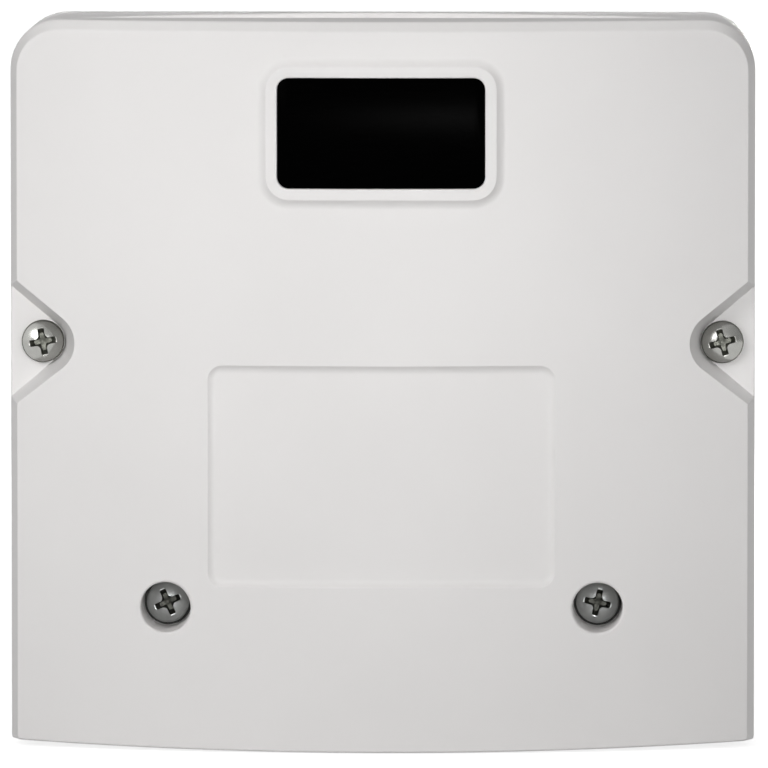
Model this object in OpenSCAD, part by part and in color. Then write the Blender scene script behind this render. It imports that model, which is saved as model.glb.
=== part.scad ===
// Garage door controller: a wall box with a bulged screw-on cover and its boards.
// Drawn lying on its back (x right, y up the wall, z out of the wall), then stood upright.

/* [Housing] */
// overall width of base and cover
body_w = 140; // [130:1:150]
// overall height, bottom of the arch to the top of the cover
body_h = 137; // [130:1:145]
// height of the top edge above the zero line of the boards
top_h = 68.5; // [67.5:0.25:70]
// depth of the rear base, wall to parting plane
base_depth = 29; // [28:0.5:32]
// thickness of the moulded walls
wall = 3; // [2.8:0.1:3.3]
// radius of the two top corners
corner_r = 9.5; // [8:0.5:11]
// radius of the two bottom corners
foot_r = 2.5; // [2:0.1:3.2]
// how far the bottom edge bows down in its middle
bottom_arch = 1.2; // [0.8:0.1:1.6]
// height of the bowed drip lip above the cover, in its middle
lip_h = 1; // [0.6:0.1:1.4]
// depth of the drip lip, back from the parting plane
lip_depth = 6; // [4:0.5:8]

/* [Front cover] */
// height of the cover's side edge above the parting plane
edge_rise = 6; // [5.5:0.25:7]
// how far the front bulges out across its width
bulge = 13; // [12:0.5:15]
// width of the bevel round the front, seen from the front
bevel_w = 1.3; // [0.8:0.1:1.6]
// height of that bevel
bevel_h = 3.2; // [2.4:0.1:3.4]
// width of the flatter bevel along the top, seen from the front
top_bevel_w = 1.9; // [1.4:0.1:2.2]
// height of that flatter bevel
top_bevel_h = 1.5; // [1:0.1:3]
// planes that carry the bevel round each top corner
bevel_steps = 8; // [6:1:10]
// length of a locating tab
tab_len = 20; // [14:1:22]
// thickness of a locating tab
tab_t = 1.6; // [1.2:0.1:2]
// reach of a locating tab into the base
tab_reach = 3.5; // [2.5:0.25:4.5]
// clearance between a locating tab and the base wall
tab_gap = 0.3; // [0.2:0.05:0.5]

/* [Display window] */
// width of the black window
window_w = 38.9; // [38:0.1:40]
// height of the black window
window_h = 20.7; // [20:0.1:22]
// corner radius of the window
window_r = 2.2; // [1.5:0.1:3]
// distance of the window's middle below the top of the box
window_down = 20.8; // [20:0.1:21.5]
// width of the raised rim round the window
rim_w = 2.2; // [1.8:0.1:2.6]
// height of the raised rim
rim_h = 0.9; // [0.6:0.1:1.2]
// width of the sloped skirt outside the rim
rim_skirt = 1.2; // [0.8:0.1:1.6]
// drop of the window's front below the rim's top
window_drop = 0.35; // [0.2:0.05:0.6]
// clearance between window and opening
window_gap = 0.1; // [0.05:0.05:0.2]
// overlap of the window's flange behind the cover
flange_w = 2.2; // [1.5:0.1:3]
// thickness of the window's flange
flange_t = 1.5; // [1.2:0.1:1.6]

/* [Recessed panel] */
// width of the panel at the front face
panel_w = 64.2; // [60:0.2:66]
// height of the panel at the front face
panel_h = 41.2; // [38:0.2:43]
// corner radius of the panel
panel_r = 3.2; // [2.4:0.1:4]
// height of the panel's middle (below the middle of the box)
panel_y = -16.5; // [-18:0.1:-15]
// depth of the panel
panel_d = 0.8; // [0.4:0.1:1]
// width of the panel's sloped wall
panel_slope = 1.3; // [0.8:0.1:1.6]

/* [Cover screws] */
// distance of a side screw from the middle
side_x = 63.9; // [63.6:0.1:64]
// height of the side screws
side_y = 7.75; // [5:0.25:10]
// distance of a lower screw from the middle
low_x = 40.5; // [39:0.25:41]
// height of the lower screws
low_y = -41.5; // [-42.5:0.25:-41]
// radius of a screw head
head_r = 4; // [3.6:0.1:4.1]
// height of a screw head
head_h = 3.1; // [2.6:0.1:3.3]
// radius of a screw shank over its thread
shank_r = 2.1; // [1.9:0.05:2.2]
// length of a screw under its head
screw_len = 16; // [13:0.5:18]
// span of the cross recess
cross_w = 4.9; // [4.4:0.1:5.1]
// width of one arm of the cross recess
cross_t = 1.1; // [0.9:0.1:1.4]
// depth of the cross recess
cross_d = 1.7; // [1.2:0.1:2]
// turn of the cross in each screw, left, right, lower left, lower right
cross_turn = [10, 15, 24, -12];
// clearance round a screw shank
screw_gap = 0.25; // [0.2:0.05:0.35]
// thickness of the ledge under a side screw
ledge_t = 2.6; // [2.4:0.1:2.8]
// radius of the notch floor round a side screw
notch_r = 4.3; // [4.25:0.05:4.6]
// slope of the notch walls, sideways for each unit of height
notch_slope = 0.28; // [0.2:0.02:0.32]
// angle of the notch flanks from level
notch_angle = 38; // [34:1:42]
// wall left inside the cover round a notch
notch_wall = 2.2; // [1.8:0.1:2.4]
// radius of a lower screw well
well_r = 4.7; // [4.5:0.05:4.9]
// wall of the tube round a well
well_wall = 2; // [1.6:0.1:2.2]
// height of a well's floor above the parting plane
well_rise = 1; // [0.5:0.25:2]
// thickness of a well's floor and the washer on it
well_floor = 2.6; // [2.2:0.1:3]
// thickness of the sealing washers under the lower screws
washer_t = 0.7; // [0.5:0.1:0.9]
// clearance between a sealing washer and its well
washer_gap = 0.2; // [0.1:0.05:0.3]
// radius of the base's screw pillars
boss_r = 4.5; // [4:0.1:5]

/* [Wall and cable holes] */
// distance of the wall screw holes from the sides
mount_side = 18; // [17:0.5:20]
// distance of the wall screw holes from the top and the bottom
mount_edge = 9; // [8.5:0.25:9.5]
// radius of a wall screw hole
mount_r = 2.25; // [2:0.05:2.6]
// spacing of the cable holes
cable_x = 28; // [24:1:30]
// distance of the cable holes from the wall
cable_z = 14.5; // [13.5:0.25:15.5]
// radius of a grommet's bore
cable_r = 4; // [3:0.1:4.5]
// radius of a grommet's neck
neck_r = 5.9; // [5.5:0.1:6.2]
// radius of a grommet's flanges
gland_r = 7.5; // [7.2:0.1:7.8]
// thickness of a grommet's flange
gland_t = 1.25; // [1:0.05:1.3]
// depth of the flat seat cut for a grommet's outer flange
seat_d = 0.6; // [0.5:0.05:0.8]
// clearance round a grommet's neck
gland_gap = 0.1; // [0.05:0.05:0.2]
// width of the gasket
gasket_w = 1.4; // [1:0.1:1.6]
// height of the gasket
gasket_h = 1; // [0.8:0.1:1.4]

/* [Main board] */
// half the width of the main board
board_x = 57; // [56.5:0.25:57.5]
// height of the main board's top edge
board_top = 52; // [51.5:0.25:53]
// height of the main board's bottom edge
board_low = -33; // [-33.5:0.25:-33]
// thickness of the boards
board_t = 1.6; // [1.4:0.1:1.8]
// height of the board's standoffs
standoff_h = 6; // [5:0.5:6.5]
// radius of a standoff
standoff_r = 3.5; // [3.2:0.1:3.6]
// distance of the board screws from the middle
bscrew_x = 53.5; // [53:0.1:53.5]
// heights of the two rows of board screws
bscrew_y = [-15, 48];
// radius of a board screw head
bscrew_head = 2.8; // [2.4:0.1:2.9]
// height of a board screw head
bscrew_h = 2; // [1.6:0.1:2.2]
// radius of a board screw shank
bscrew_r = 1.45; // [1.2:0.05:1.5]

/* [Terminals] */
// pitch of the power terminals
power_pitch = 7.62; // [7:0.02:7.62]
// number of power terminals
power_n = 5; // [3:1:5]
// left end of the power terminal block
power_x = -54; // [-54.5:0.25:-53.5]
// depth and height of the power terminal block
power_size = [13, 16];
// pitch of the signal terminals
signal_pitch = 5.08; // [5:0.02:5.08]
// number of signal terminals
signal_n = 8; // [4:1:8]
// left end of the signal terminal block
signal_x = 8; // [7:0.25:9]
// depth and height of the signal terminal block
signal_size = [10, 12];
// radius of a terminal screw
tscrew_r = 1.8; // [1.5:0.05:1.9]
// drop of a terminal screw below its block's top
tscrew_drop = 1; // [0.5:0.1:1.5]
// clearance round a terminal screw
tscrew_gap = 0.2; // [0.1:0.05:0.3]
// depth of the slots in small screws
slot_d = 0.7; // [0.5:0.1:0.9]
// width of the slots in small screws
slot_w = 0.6; // [0.4:0.1:0.8]

/* [Power parts] */
// width, stack and height of the transformer core
core = [30, 12, 25];
// width, length and height of the transformer bobbin
bobbin = [20, 26, 15];
// place of the transformer
core_at = [-35, 17];
// height of the bobbin's foot under the core
bobbin_foot = 1.5; // [1:0.1:1.6]
// width, length and height of a relay
relay = [15.5, 19, 15.5];
// left relay's place
relay_at = [2, -8];
// pitch of the relays
relay_pitch = 17; // [16.5:0.1:17]
// radius and height of the filter capacitor
filter_can = [8, 25];
// place of the filter capacitor
filter_at = [-7, 14.5];
// radius and height of the small capacitors
small_can = [3.15, 11];
// places of the small capacitors
small_at = [[49.5, -3], [47.8, -10]];
// width, thickness and height of the suppression capacitor
x2_size = [18, 8.5, 15];
// place of the suppression capacitor
x2_at = [-36, -12];
// radius and thickness of the varistor
var_size = [7, 4.5];
// place of the varistor
var_at = [-16, -12];
// width, depth and height of the rectifier
rect_size = [8.5, 6.4, 3.3];
// place of the rectifier
rect_at = [-12, 0];
// radius and length of the fuse
fuse_size = [2.6, 20];
// place of the fuse
fuse_at = [-37, 41];
// length, width and height of the fuse holder's foot
holder = [24, 7, 3];
// thickness, length and height of the heat sink's plate
sink = [2, 22, 22];
// place of the heat sink's plate
sink_at = [47, 15];
// number of cooling fins
fin_n = 5; // [3:1:7]
// length and thickness of a fin
fin = [3, 1.2];
// width, thickness and height of the triac's body
triac = [10, 4.4, 15];

/* [Logic parts] */
// length, width and height of the socket
socket = [36, 10, 4.2];
// place of the socket
socket_at = [22, 12];
// length, width and height of the microcontroller
chip = [35, 7, 3.4];
// length, width and height of the crystal
xtal = [11, 4.6, 3.6];
// place of the crystal
xtal_at = [46, 29];
// length, width and thickness of the receiver board
rx = [26, 12, 1];
// place of the receiver board
rx_at = [42, 38];
// lift of the receiver board on its pins
rx_lift = 3.4; // [2.5:0.1:4]
// length, width and height of the receiver's can
rx_can = [12, 9, 3];
// width, length and height of the limit switch connector
limit = [5, 15, 9];
// place of the limit switch connector
limit_at = [54, 12];
// thickness of that connector's walls
limit_wall = 1; // [0.8:0.1:1.2]
// radius and height of a status lamp
lamp = [1.45, 4.5];
// height of the row of status lamps
lamp_y = 4.2; // [4:0.1:4.4]

/* [Switches and trimmers] */
// length, width and height of the slide switch body
dip = [11.6, 6.2, 5];
// place of the slide switch body
dip_at = [32, 24.9];
// pitch of the slide switches
dip_pitch = 2.54; // [2.4:0.02:2.54]
// width, length and height of a slider
slider = [1.2, 1.5, 2];
// travel of a slider
slider_travel = 2; // [1.5:0.1:2]
// clearance round a slider
slider_gap = 0.2; // [0.15:0.01:0.25]
// height of a slider above its body
slider_out = 0.8; // [0.5:0.1:1]
// width and height of a trimmer body
trim = [6.8, 5];
// places of the trimmers
trim_at = [[8, 22.5], [17.5, 22.5]];
// radius and height of a trimmer's rotor
rotor = [2.3, 2];
// clearance round a rotor
rotor_gap = 0.25; // [0.15:0.05:0.3]
// height of a rotor above its body
rotor_out = 0.3; // [0.2:0.1:0.6]
// width and height of a button body
button = [6, 3.5];
// spacing of the buttons
button_step = 12; // [11:0.25:12.5]
// distance of the buttons below the window's middle
button_drop = 15.2; // [14.5:0.1:15.5]
// radius of a button's stem
stem_r = 1.7; // [1.4:0.1:1.8]
// radius of a button's cap
cap_r = 3; // [2.5:0.1:3.4]
// height of a button's cap
cap_h = 3; // [2:0.25:3.5]
// travel of a button
button_travel = 0.35; // [0.25:0.05:0.5]
// space left under a pressed button
button_rest = 0.25; // [0.15:0.05:0.4]

/* [Display] */
// half the width of the display board
dboard_x = 27; // [26.5:0.25:28]
// reach of the display board below the window's middle
dboard_down = 20.2; // [19.5:0.1:20.7]
// reach of the display board above the window's middle
dboard_up = 11.8; // [10.8:0.1:12.8]
// width, height and thickness of the display module
module_size = [37.7, 19, 8];
// height of the display's front above the parting plane
display_rise = 12.5; // [12:0.1:12.7]
// radius of a display spacer
spacer_r = 2.5; // [2.2:0.1:2.6]
// distance of the spacers from the middle
spacer_x = 23; // [22.5:0.1:23.2]
// distance of the lower spacers below the window's middle
spacer_down = 14.7; // [14:0.1:15]
// distance of the upper spacers above the window's middle
spacer_up = 0.8; // [0:0.1:1.5]
// length, width and height of the pin header
header = [20.3, 2.5, 8.5];
// distance of the pin header below the window's middle
header_down = 17.2; // [16.7:0.1:17.7]

/* [Hidden] */
half_w = body_w / 2;
low_h = body_h - top_h;
arch_r = (half_w * half_w + bottom_arch * bottom_arch) / (2 * bottom_arch);
arch_cy = arch_r - low_h;
foot_cy = foot_r - low_h;
foot_y = bottom_arch - low_h;
inner_low = foot_y + wall;
edge_z = base_depth + edge_rise;
bow_r = (half_w * half_w + bulge * bulge) / (2 * bulge);
bow_z = edge_z + bulge - bow_r;
front_max = edge_z + bulge + rim_h;
corner_x = half_w - corner_r;
corner_y = top_h - corner_r;
window_y = top_h - window_down;
button_y = window_y - button_drop;
dboard_low = window_y - dboard_down;
dboard_top = window_y + dboard_up;
spacer_y = [window_y - spacer_down, window_y + spacer_up];
header_y = window_y - header_down;
lip_w = 2 * (corner_x - 2 * lip_h);
lip_r = (lip_w * lip_w / 4 + lip_h * lip_h) / (2 * lip_h);
ledge_z = base_depth + ledge_t;
well_z = base_depth + well_rise;
boss_low_z = well_z - well_floor;
rim_r = bow_r + rim_h;
rim_out_w = window_w + 2 * rim_w;
rim_out_h = window_h + 2 * rim_w;
tube_r = well_r + well_wall;
board_z = wall + standoff_h;
top_z = board_z + board_t;
display_z = base_depth + display_rise;
dtop_z = display_z - module_size[2];
dlow_z = dtop_z - board_t;
hole_r = shank_r + screw_gap;
neck_hole = neck_r + gland_gap;
spot_r = gland_r + gland_gap;
spot_y = foot_y + seat_d;
tip_l = shank_r;
far = 4 * body_w;
skin = 0.05;
over = 1;
fine = 256;
coarse = 32;
$fn = 64;

// Height of the front face above the wall at a distance x from the middle.
function face_z(x) = bow_z + sqrt(bow_r * bow_r - x * x);

// Sideways reach of a notch flank from the screw's level, for a floor radius r.
function flank_y(r, dx) = (r + sin(notch_angle) * dx) / cos(notch_angle);

// Stand what was drawn on its back upright, with the wall behind it.
module upright() {
  rotate([90, 0, 0])
    children();
}

// A box given by the middle of its foot, its foot's height and its size.
module box_at(at, z, size) {
  translate([at[0] - size[0] / 2, at[1] - size[1] / 2, z])
    cube(size);
}

// A flat rectangle with round corners.
module round_rect(w, h, r) {
  square([w - 2 * r, h], center = true);
  square([w, h - 2 * r], center = true);
  for (sx = [-1, 1], sy = [-1, 1])
    translate([sx * (w / 2 - r), sy * (h / 2 - r)])
      circle(r);
}

// The outer outline: straight sides, round top corners, a bowed bottom edge.
module outline() {
  intersection() {
    union() {
      translate([-half_w, foot_cy])
        square([body_w, corner_y - foot_cy]);
      translate([-corner_x, foot_cy])
        square([2 * corner_x, top_h - foot_cy]);
      translate([foot_r - half_w, -low_h - over])
        square([body_w - 2 * foot_r, low_h]);
      for (s = [-1, 1])
        translate([s * corner_x, corner_y])
          circle(corner_r);
      for (s = [-1, 1])
        translate([s * (half_w - foot_r), foot_cy])
          circle(foot_r);
    }
    translate([0, arch_cy])
      circle(arch_r, $fn = fine);
  }
}

// The outline moved in by a distance, with a level bottom edge.
module inner_outline(in) {
  translate([in - half_w, foot_y + in])
    square([body_w - 2 * in, corner_y - foot_y - in]);
  translate([-corner_x, foot_y + in])
    square([2 * corner_x, top_h - foot_y - 2 * in]);
  for (s = [-1, 1])
    translate([s * corner_x, corner_y])
      circle(corner_r - in);
}

// A disc lying along the wall whose rim is the bulged front, as large as r.
module bow_disc(r) {
  translate([0, 0, bow_z])
    rotate([-90, 0, 0])
      cylinder(r = r, h = 2 * body_h, center = true, $fn = fine);
}

// The same disc with the bevel along the cover's top edge turned on it.
module bevelled_disc() {
  translate([0, 0, bow_z])
    rotate([-90, 0, 0])
      rotate_extrude($fn = fine)
        polygon([[0, -body_h], [bow_r, -body_h], [bow_r, top_h - top_bevel_w],
          [bow_r - 2 * top_bevel_h, top_h + top_bevel_w], [0, top_h + top_bevel_w]]);
}

// A thin skin on the bulged front, bounded by a round rectangle.
module face_skin(w, h, r, y, lift) {
  intersection() {
    translate([0, y, base_depth])
      linear_extrude(bulge + 4 * edge_rise)
        round_rect(w, h, r);
    difference() {
      bow_disc(bow_r + lift);
      bow_disc(bow_r + lift - skin);
    }
  }
}

// Everything past the sloped bevel of the right side edge.
module side_bevel_cut() {
  up = face_z(half_w - bevel_w) - edge_z + bevel_h;
  lean = atan2(bevel_w, up);
  translate([half_w, 0, edge_z - bevel_h])
    rotate([0, -lean, 0])
      translate([0, -body_h, -over])
        cube([body_w / 4, 2 * body_h, body_w / 4]);
}

// Everything past the bevel of the right top corner, as a fan of planes.
module corner_bevel_cut() {
  for (k = [0:bevel_steps - 1]) {
    a = (k + 0.5) * 90 / bevel_steps;
    w = bevel_w + (top_bevel_w - bevel_w) * sin(a) * sin(a);
    h = bevel_h + (top_bevel_h - bevel_h) * sin(a) * sin(a);
    x = corner_x + corner_r * cos(a);
    x2 = corner_x + (corner_r - w) * cos(a);
    y = corner_y + corner_r * sin(a);
    run = x * sin(a) / sqrt(bow_r * bow_r - x * x);
    slope = [-w * cos(a), -w * sin(a), face_z(x2) - face_z(x) + h];
    n = cross([-sin(a), cos(a), run], slope);
    u = n / norm(n);
    translate([x, y, face_z(x) - h])
      rotate([0, acos(u[2]), atan2(u[1], u[0])])
        translate([-body_w / 8, -body_w / 8, 0])
          cube(body_w / 4);
  }
}

// One level of the side notch: a round end that opens to the side between two flanks.
module notch_slice(r, z) {
  dx = half_w + 3 * over - side_x;
  translate([side_x, side_y, z])
    linear_extrude(skin) {
      circle(r, $fn = coarse);
      polygon([[0, 0], [dx, flank_y(r, dx)], [dx, -flank_y(r, dx)]]);
    }
}

// The side notch, widening toward the front, with its floor radius and floor height.
module notch(r, z) {
  rise = bulge;
  hull() {
    notch_slice(r, z);
    notch_slice(r + rise * notch_slope, z + rise);
  }
}

// The solid cover before it is hollowed: bulged front, bevels on the top and the sides.
module cover_block() {
  difference() {
    intersection() {
      translate([0, 0, base_depth])
        linear_extrude(front_max)
          outline();
      bevelled_disc();
    }
    for (s = [0, 1])
      mirror([s, 0, 0]) {
        side_bevel_cut();
        corner_bevel_cut();
      }
  }
}

// The hollow of the cover, leaving walls round the notches and tubes round the wells.
module cover_hollow() {
  difference() {
    intersection() {
      translate([0, 0, base_depth - over])
        linear_extrude(front_max)
          inner_outline(wall);
      bow_disc(bow_r - wall);
    }
    for (s = [0, 1])
      mirror([s, 0, 0]) {
        notch(notch_r + notch_wall, base_depth - over - skin);
        translate([low_x, low_y, 0])
          cylinder(r = tube_r, h = front_max);
      }
  }
}

// A tab that reaches from the cover into the base, along the top or bottom wall.
module level_tab(x, y, s) {
  translate([x - tab_len / 2, s > 0 ? y - tab_gap - tab_t : y + tab_gap, base_depth - tab_reach])
    cube([tab_len, tab_t, tab_reach + over]);
  translate([x - tab_len / 2, s > 0 ? y - tab_gap - tab_t : y - tab_gap, base_depth + over / 2])
    cube([tab_len, tab_t + 2 * tab_gap, edge_rise - over]);
}

// A tab along the right side wall.
module side_tab(y) {
  translate([half_w - wall - tab_gap - tab_t, y - tab_len / 2, base_depth - tab_reach])
    cube([tab_t, tab_len, tab_reach + over]);
  translate([half_w - wall - tab_gap - tab_t, y - tab_len / 2, base_depth + over / 2])
    cube([tab_t + 2 * tab_gap, tab_len, ledge_t]);
}

// Front cover: hollow, with rim, panel, notches and wells.
module front_cover() {
  color("WhiteSmoke")
    upright()
      difference() {
        union() {
          difference() {
            cover_block();
            cover_hollow();
          }
          for (s = [-1, 1])
            translate([s * low_x, low_y, boss_low_z])
              cylinder(r = tube_r, h = base_depth - boss_low_z + over);
          hull() {
            face_skin(rim_out_w + 2 * rim_skirt, rim_out_h + 2 * rim_skirt,
              window_r + rim_w + rim_skirt, window_y, 0);
            face_skin(rim_out_w, rim_out_h, window_r + rim_w, window_y, rim_h);
          }
          for (s = [-1, 1]) {
            level_tab(s * tab_len * 1.5, top_h - wall, 1);
            level_tab(s * cable_x / 2, inner_low, -1);
          }
          for (s = [0, 1])
            mirror([s, 0, 0]) {
              side_tab(corner_y - tab_len);
              side_tab(low_y + tab_len / 2);
            }
        }
        for (s = [0, 1])
          mirror([s, 0, 0]) {
            notch(notch_r, ledge_z);
            translate([side_x, side_y, base_depth - over])
              cylinder(r = hole_r, h = ledge_t + 2 * over);
            translate([low_x, low_y, well_z - washer_t])
              cylinder(r = well_r, h = front_max);
            translate([low_x, low_y, boss_low_z - over])
              cylinder(r = hole_r, h = well_floor + 2 * over);
          }
        translate([0, window_y, base_depth])
          linear_extrude(front_max)
            round_rect(window_w, window_h, window_r);
        difference() {
          hull() {
            face_skin(panel_w - 2 * panel_slope, panel_h - 2 * panel_slope,
              panel_r - panel_slope, panel_y, -panel_d);
            face_skin(panel_w + 2 * panel_slope, panel_h + 2 * panel_slope,
              panel_r + panel_slope, panel_y, panel_d);
          }
          bow_disc(bow_r - panel_d);
        }
      }
}

// Display window: a tinted pane that follows the bulge, with a flange behind the cover.
module display_window() {
  color("Black")
    upright() {
      intersection() {
        translate([0, window_y, base_depth])
          linear_extrude(front_max)
            round_rect(window_w - 2 * window_gap, window_h - 2 * window_gap, window_r - window_gap);
        difference() {
          bow_disc(rim_r - window_drop);
          bow_disc(bow_r - wall - flange_t);
        }
      }
      intersection() {
        translate([0, window_y, base_depth])
          linear_extrude(front_max)
            round_rect(window_w + 2 * flange_w, window_h + 2 * flange_w, window_r + flange_w);
        difference() {
          bow_disc(bow_r - wall - skin);
          bow_disc(bow_r - wall - flange_t);
        }
      }
    }
}

// A pan-head screw with a cross recess turned by an angle, its head's seat at the origin.
module cover_screw(turn) {
  dome = (head_r * head_r + head_h * head_h / 4) / head_h;
  difference() {
    union() {
      intersection() {
        cylinder(r = head_r, h = head_h);
        translate([0, 0, head_h - dome])
          sphere(r = dome, $fn = 2 * coarse);
      }
      translate([0, 0, tip_l - screw_len])
        cylinder(r = shank_r, h = screw_len - tip_l + skin);
      translate([0, 0, -screw_len])
        cylinder(r1 = slot_w, r2 = shank_r, h = tip_l);
    }
    for (a = [0, 90])
      rotate([0, 0, turn + a])
        translate([-cross_w / 2, -cross_t / 2, head_h - cross_d])
          cube([cross_w, cross_t, cross_d + over]);
  }
}

// Sealing washers: rubber rings in the wells, under the lower screws.
module sealing_washers() {
  color("Black")
    upright()
      for (s = [-1, 1])
        translate([s * low_x, low_y, well_z - washer_t])
          difference() {
            cylinder(r = well_r - washer_gap, h = washer_t, $fn = coarse);
            translate([0, 0, -over])
              cylinder(r = hole_r, h = washer_t + 2 * over, $fn = coarse);
          }
}

// Left screw of the side notches.
module side_screw_left() {
  color("Silver")
    upright()
      translate([-side_x, side_y, ledge_z])
        cover_screw(cross_turn[0]);
}

// Right screw of the side notches.
module side_screw_right() {
  color("Silver")
    upright()
      translate([side_x, side_y, ledge_z])
        cover_screw(cross_turn[1]);
}

// Left screw in the lower wells.
module lower_screw_left() {
  color("Gray")
    upright()
      translate([-low_x, low_y, well_z])
        cover_screw(cross_turn[2]);
}

// Right screw in the lower wells.
module lower_screw_right() {
  color("Gray")
    upright()
      translate([low_x, low_y, well_z])
        cover_screw(cross_turn[3]);
}

// Rear base: tray with screw pillars, standoffs, a drip lip and holes for wall and cables.
module rear_base() {
  color("WhiteSmoke")
    upright()
      difference() {
        union() {
          difference() {
            linear_extrude(base_depth)
              outline();
            translate([0, 0, wall])
              linear_extrude(base_depth)
                inner_outline(wall);
          }
          for (s = [-1, 1]) {
            translate([s * side_x, side_y, wall - skin])
              cylinder(r = boss_r, h = base_depth - wall + skin);
            translate([s * low_x, low_y, wall - skin])
              cylinder(r = boss_r, h = boss_low_z - wall + skin);
            for (y = bscrew_y)
              translate([s * bscrew_x, y, wall - skin])
                cylinder(r = standoff_r, h = standoff_h + skin);
          }
          translate([0, 0, base_depth - lip_depth])
            linear_extrude(lip_depth)
              intersection() {
                translate([0, top_h + lip_h - lip_r])
                  circle(lip_r, $fn = fine);
                translate([-corner_x, top_h - wall / 2])
                  square([2 * corner_x, wall]);
              }
        }
        for (s = [-1, 1]) {
          translate([s * side_x, side_y, ledge_z - screw_len - over])
            cylinder(r = hole_r, h = screw_len);
          translate([s * low_x, low_y, well_z - screw_len - over])
            cylinder(r = hole_r, h = screw_len);
          for (y = bscrew_y)
            translate([s * bscrew_x, y, wall])
              cylinder(r = bscrew_r + skin, h = standoff_h + over);
          for (y = [mount_edge - low_h, top_h - mount_edge])
            translate([s * (half_w - mount_side), y, -over])
              cylinder(r = mount_r, h = wall + 2 * over);
        }
        translate([0, 0, base_depth - gasket_h])
          linear_extrude(gasket_h + over)
            difference() {
              inner_outline((wall - gasket_w) / 2);
              inner_outline((wall + gasket_w) / 2);
            }
        for (s = [-1, 0, 1])
          translate([s * cable_x, 0, cable_z])
            rotate([90, 0, 0]) {
              cylinder(r = neck_hole, h = body_h);
              translate([0, 0, -spot_y])
                cylinder(r = spot_r, h = body_h);
            }
      }
}

// Gasket: a rubber ring in the groove of the base's rim.
module cover_gasket() {
  color("DimGray")
    upright()
      translate([0, 0, base_depth - gasket_h])
        linear_extrude(gasket_h)
          difference() {
            inner_outline((wall - gasket_w) / 2);
            inner_outline((wall + gasket_w) / 2);
          }
}

// Three rubber grommets in the bottom wall.
module cable_grommets() {
  color("DimGray")
    upright()
      for (s = [-1, 0, 1])
        translate([s * cable_x, 0, cable_z])
          rotate([90, 0, 0])
            difference() {
              union() {
                translate([0, 0, -spot_y])
                  cylinder(r = gland_r, h = gland_t);
                translate([0, 0, -inner_low - skin])
                  cylinder(r = neck_r, h = inner_low - spot_y + 2 * skin);
                translate([0, 0, -inner_low - gland_t])
                  cylinder(r = gland_r - 2 * gland_gap, h = gland_t);
              }
              cylinder(r = cable_r, h = body_h);
            }
}

// Main board with its screw holes.
module main_board() {
  color("DarkGreen")
    upright()
      difference() {
        translate([-board_x, board_low, board_z])
          cube([2 * board_x, board_top - board_low, board_t]);
        for (s = [-1, 1], y = bscrew_y)
          translate([s * bscrew_x, y, board_z - over])
            cylinder(r = bscrew_r + screw_gap, h = board_t + 2 * over);
      }
}

// Four pan-head screws that hold the main board.
module board_screws() {
  color("Silver")
    upright()
      for (s = [-1, 1], y = bscrew_y)
        translate([s * bscrew_x, y, top_z])
          difference() {
            union() {
              cylinder(r = bscrew_head, h = bscrew_h);
              translate([0, 0, -standoff_h])
                cylinder(r = bscrew_r, h = standoff_h + skin);
            }
            for (a = [0, 90])
              rotate([0, 0, a])
                translate([-bscrew_r, -slot_w / 2, bscrew_h - slot_d])
                  cube([2 * bscrew_r, slot_w, slot_d + over]);
          }
}

// A row of terminals with a screw shaft and a wire entry for each pole.
module terminal_row(x0, n, pitch, size) {
  difference() {
    translate([x0, board_low, top_z])
      cube([n * pitch, size[0], size[1]]);
    for (i = [0:n - 1]) {
      translate([x0 + (i + 0.5) * pitch, board_low + size[0] / 2, top_z + size[1] / 2])
        cylinder(r = tscrew_r + tscrew_gap, h = size[1]);
      translate([x0 + i * pitch + pitch / 5, board_low - over, top_z + size[1] / 8])
        cube([pitch * 3 / 5, size[0] / 2 + over, size[1] / 3]);
    }
  }
}

// Terminal block for mains, motor and lamp.
module power_terminal_block() {
  color("SeaGreen")
    upright()
      terminal_row(power_x, power_n, power_pitch, power_size);
}

// Terminal block for push button, photocell and accessories.
module signal_terminal_block() {
  color("SeaGreen")
    upright()
      terminal_row(signal_x, signal_n, signal_pitch, signal_size);
}

// The slotted screws of one terminal row.
module terminal_screw_row(x0, n, pitch, size) {
  for (i = [0:n - 1])
    translate([x0 + (i + 0.5) * pitch, board_low + size[0] / 2, top_z + size[1] / 2])
      difference() {
        cylinder(r = tscrew_r, h = size[1] / 2 - tscrew_drop);
        translate([-tscrew_r - over, -slot_w / 2, size[1] / 2 - tscrew_drop - slot_d])
          cube([2 * tscrew_r + 2 * over, slot_w, slot_d + over]);
      }
}

// All terminal screws.
module terminal_screws() {
  color("Silver")
    upright() {
      terminal_screw_row(power_x, power_n, power_pitch, power_size);
      terminal_screw_row(signal_x, signal_n, signal_pitch, signal_size);
    }
}

// Laminated core of the transformer, open where the bobbin passes.
module transformer_core() {
  color("SlateGray")
    upright()
      difference() {
        box_at(core_at, top_z + bobbin_foot, core);
        box_at(core_at, top_z + bobbin_foot + (core[2] - bobbin[2]) / 2,
          [bobbin[0], core[1] + 2 * over, bobbin[2]]);
      }
}

// Bobbin with its winding, through the core, on two feet.
module transformer_bobbin() {
  wide = (bobbin[1] - core[1]) / 2;
  color("Goldenrod")
    upright() {
      box_at(core_at, top_z + bobbin_foot + (core[2] - bobbin[2]) / 2, bobbin);
      for (s = [-1, 1])
        box_at([core_at[0], core_at[1] + s * (core[1] + wide) / 2], top_z, [core[0] * 0.8, wide,
          bobbin_foot + core[2] / 2]);
    }
}

// A relay case with a step round its foot.
module relay_case(i) {
  at = [relay_at[0] + i * relay_pitch, relay_at[1]];
  box_at(at, top_z, [relay[0], relay[1], relay[2] / 8]);
  box_at(at, top_z + relay[2] / 8 - skin, [relay[0] - slot_w, relay[1] - slot_w, relay[2] * 7 / 8]);
}

// Relay that runs the motor to open.
module relay_open() {
  color("RoyalBlue")
    upright()
      relay_case(0);
}

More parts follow.
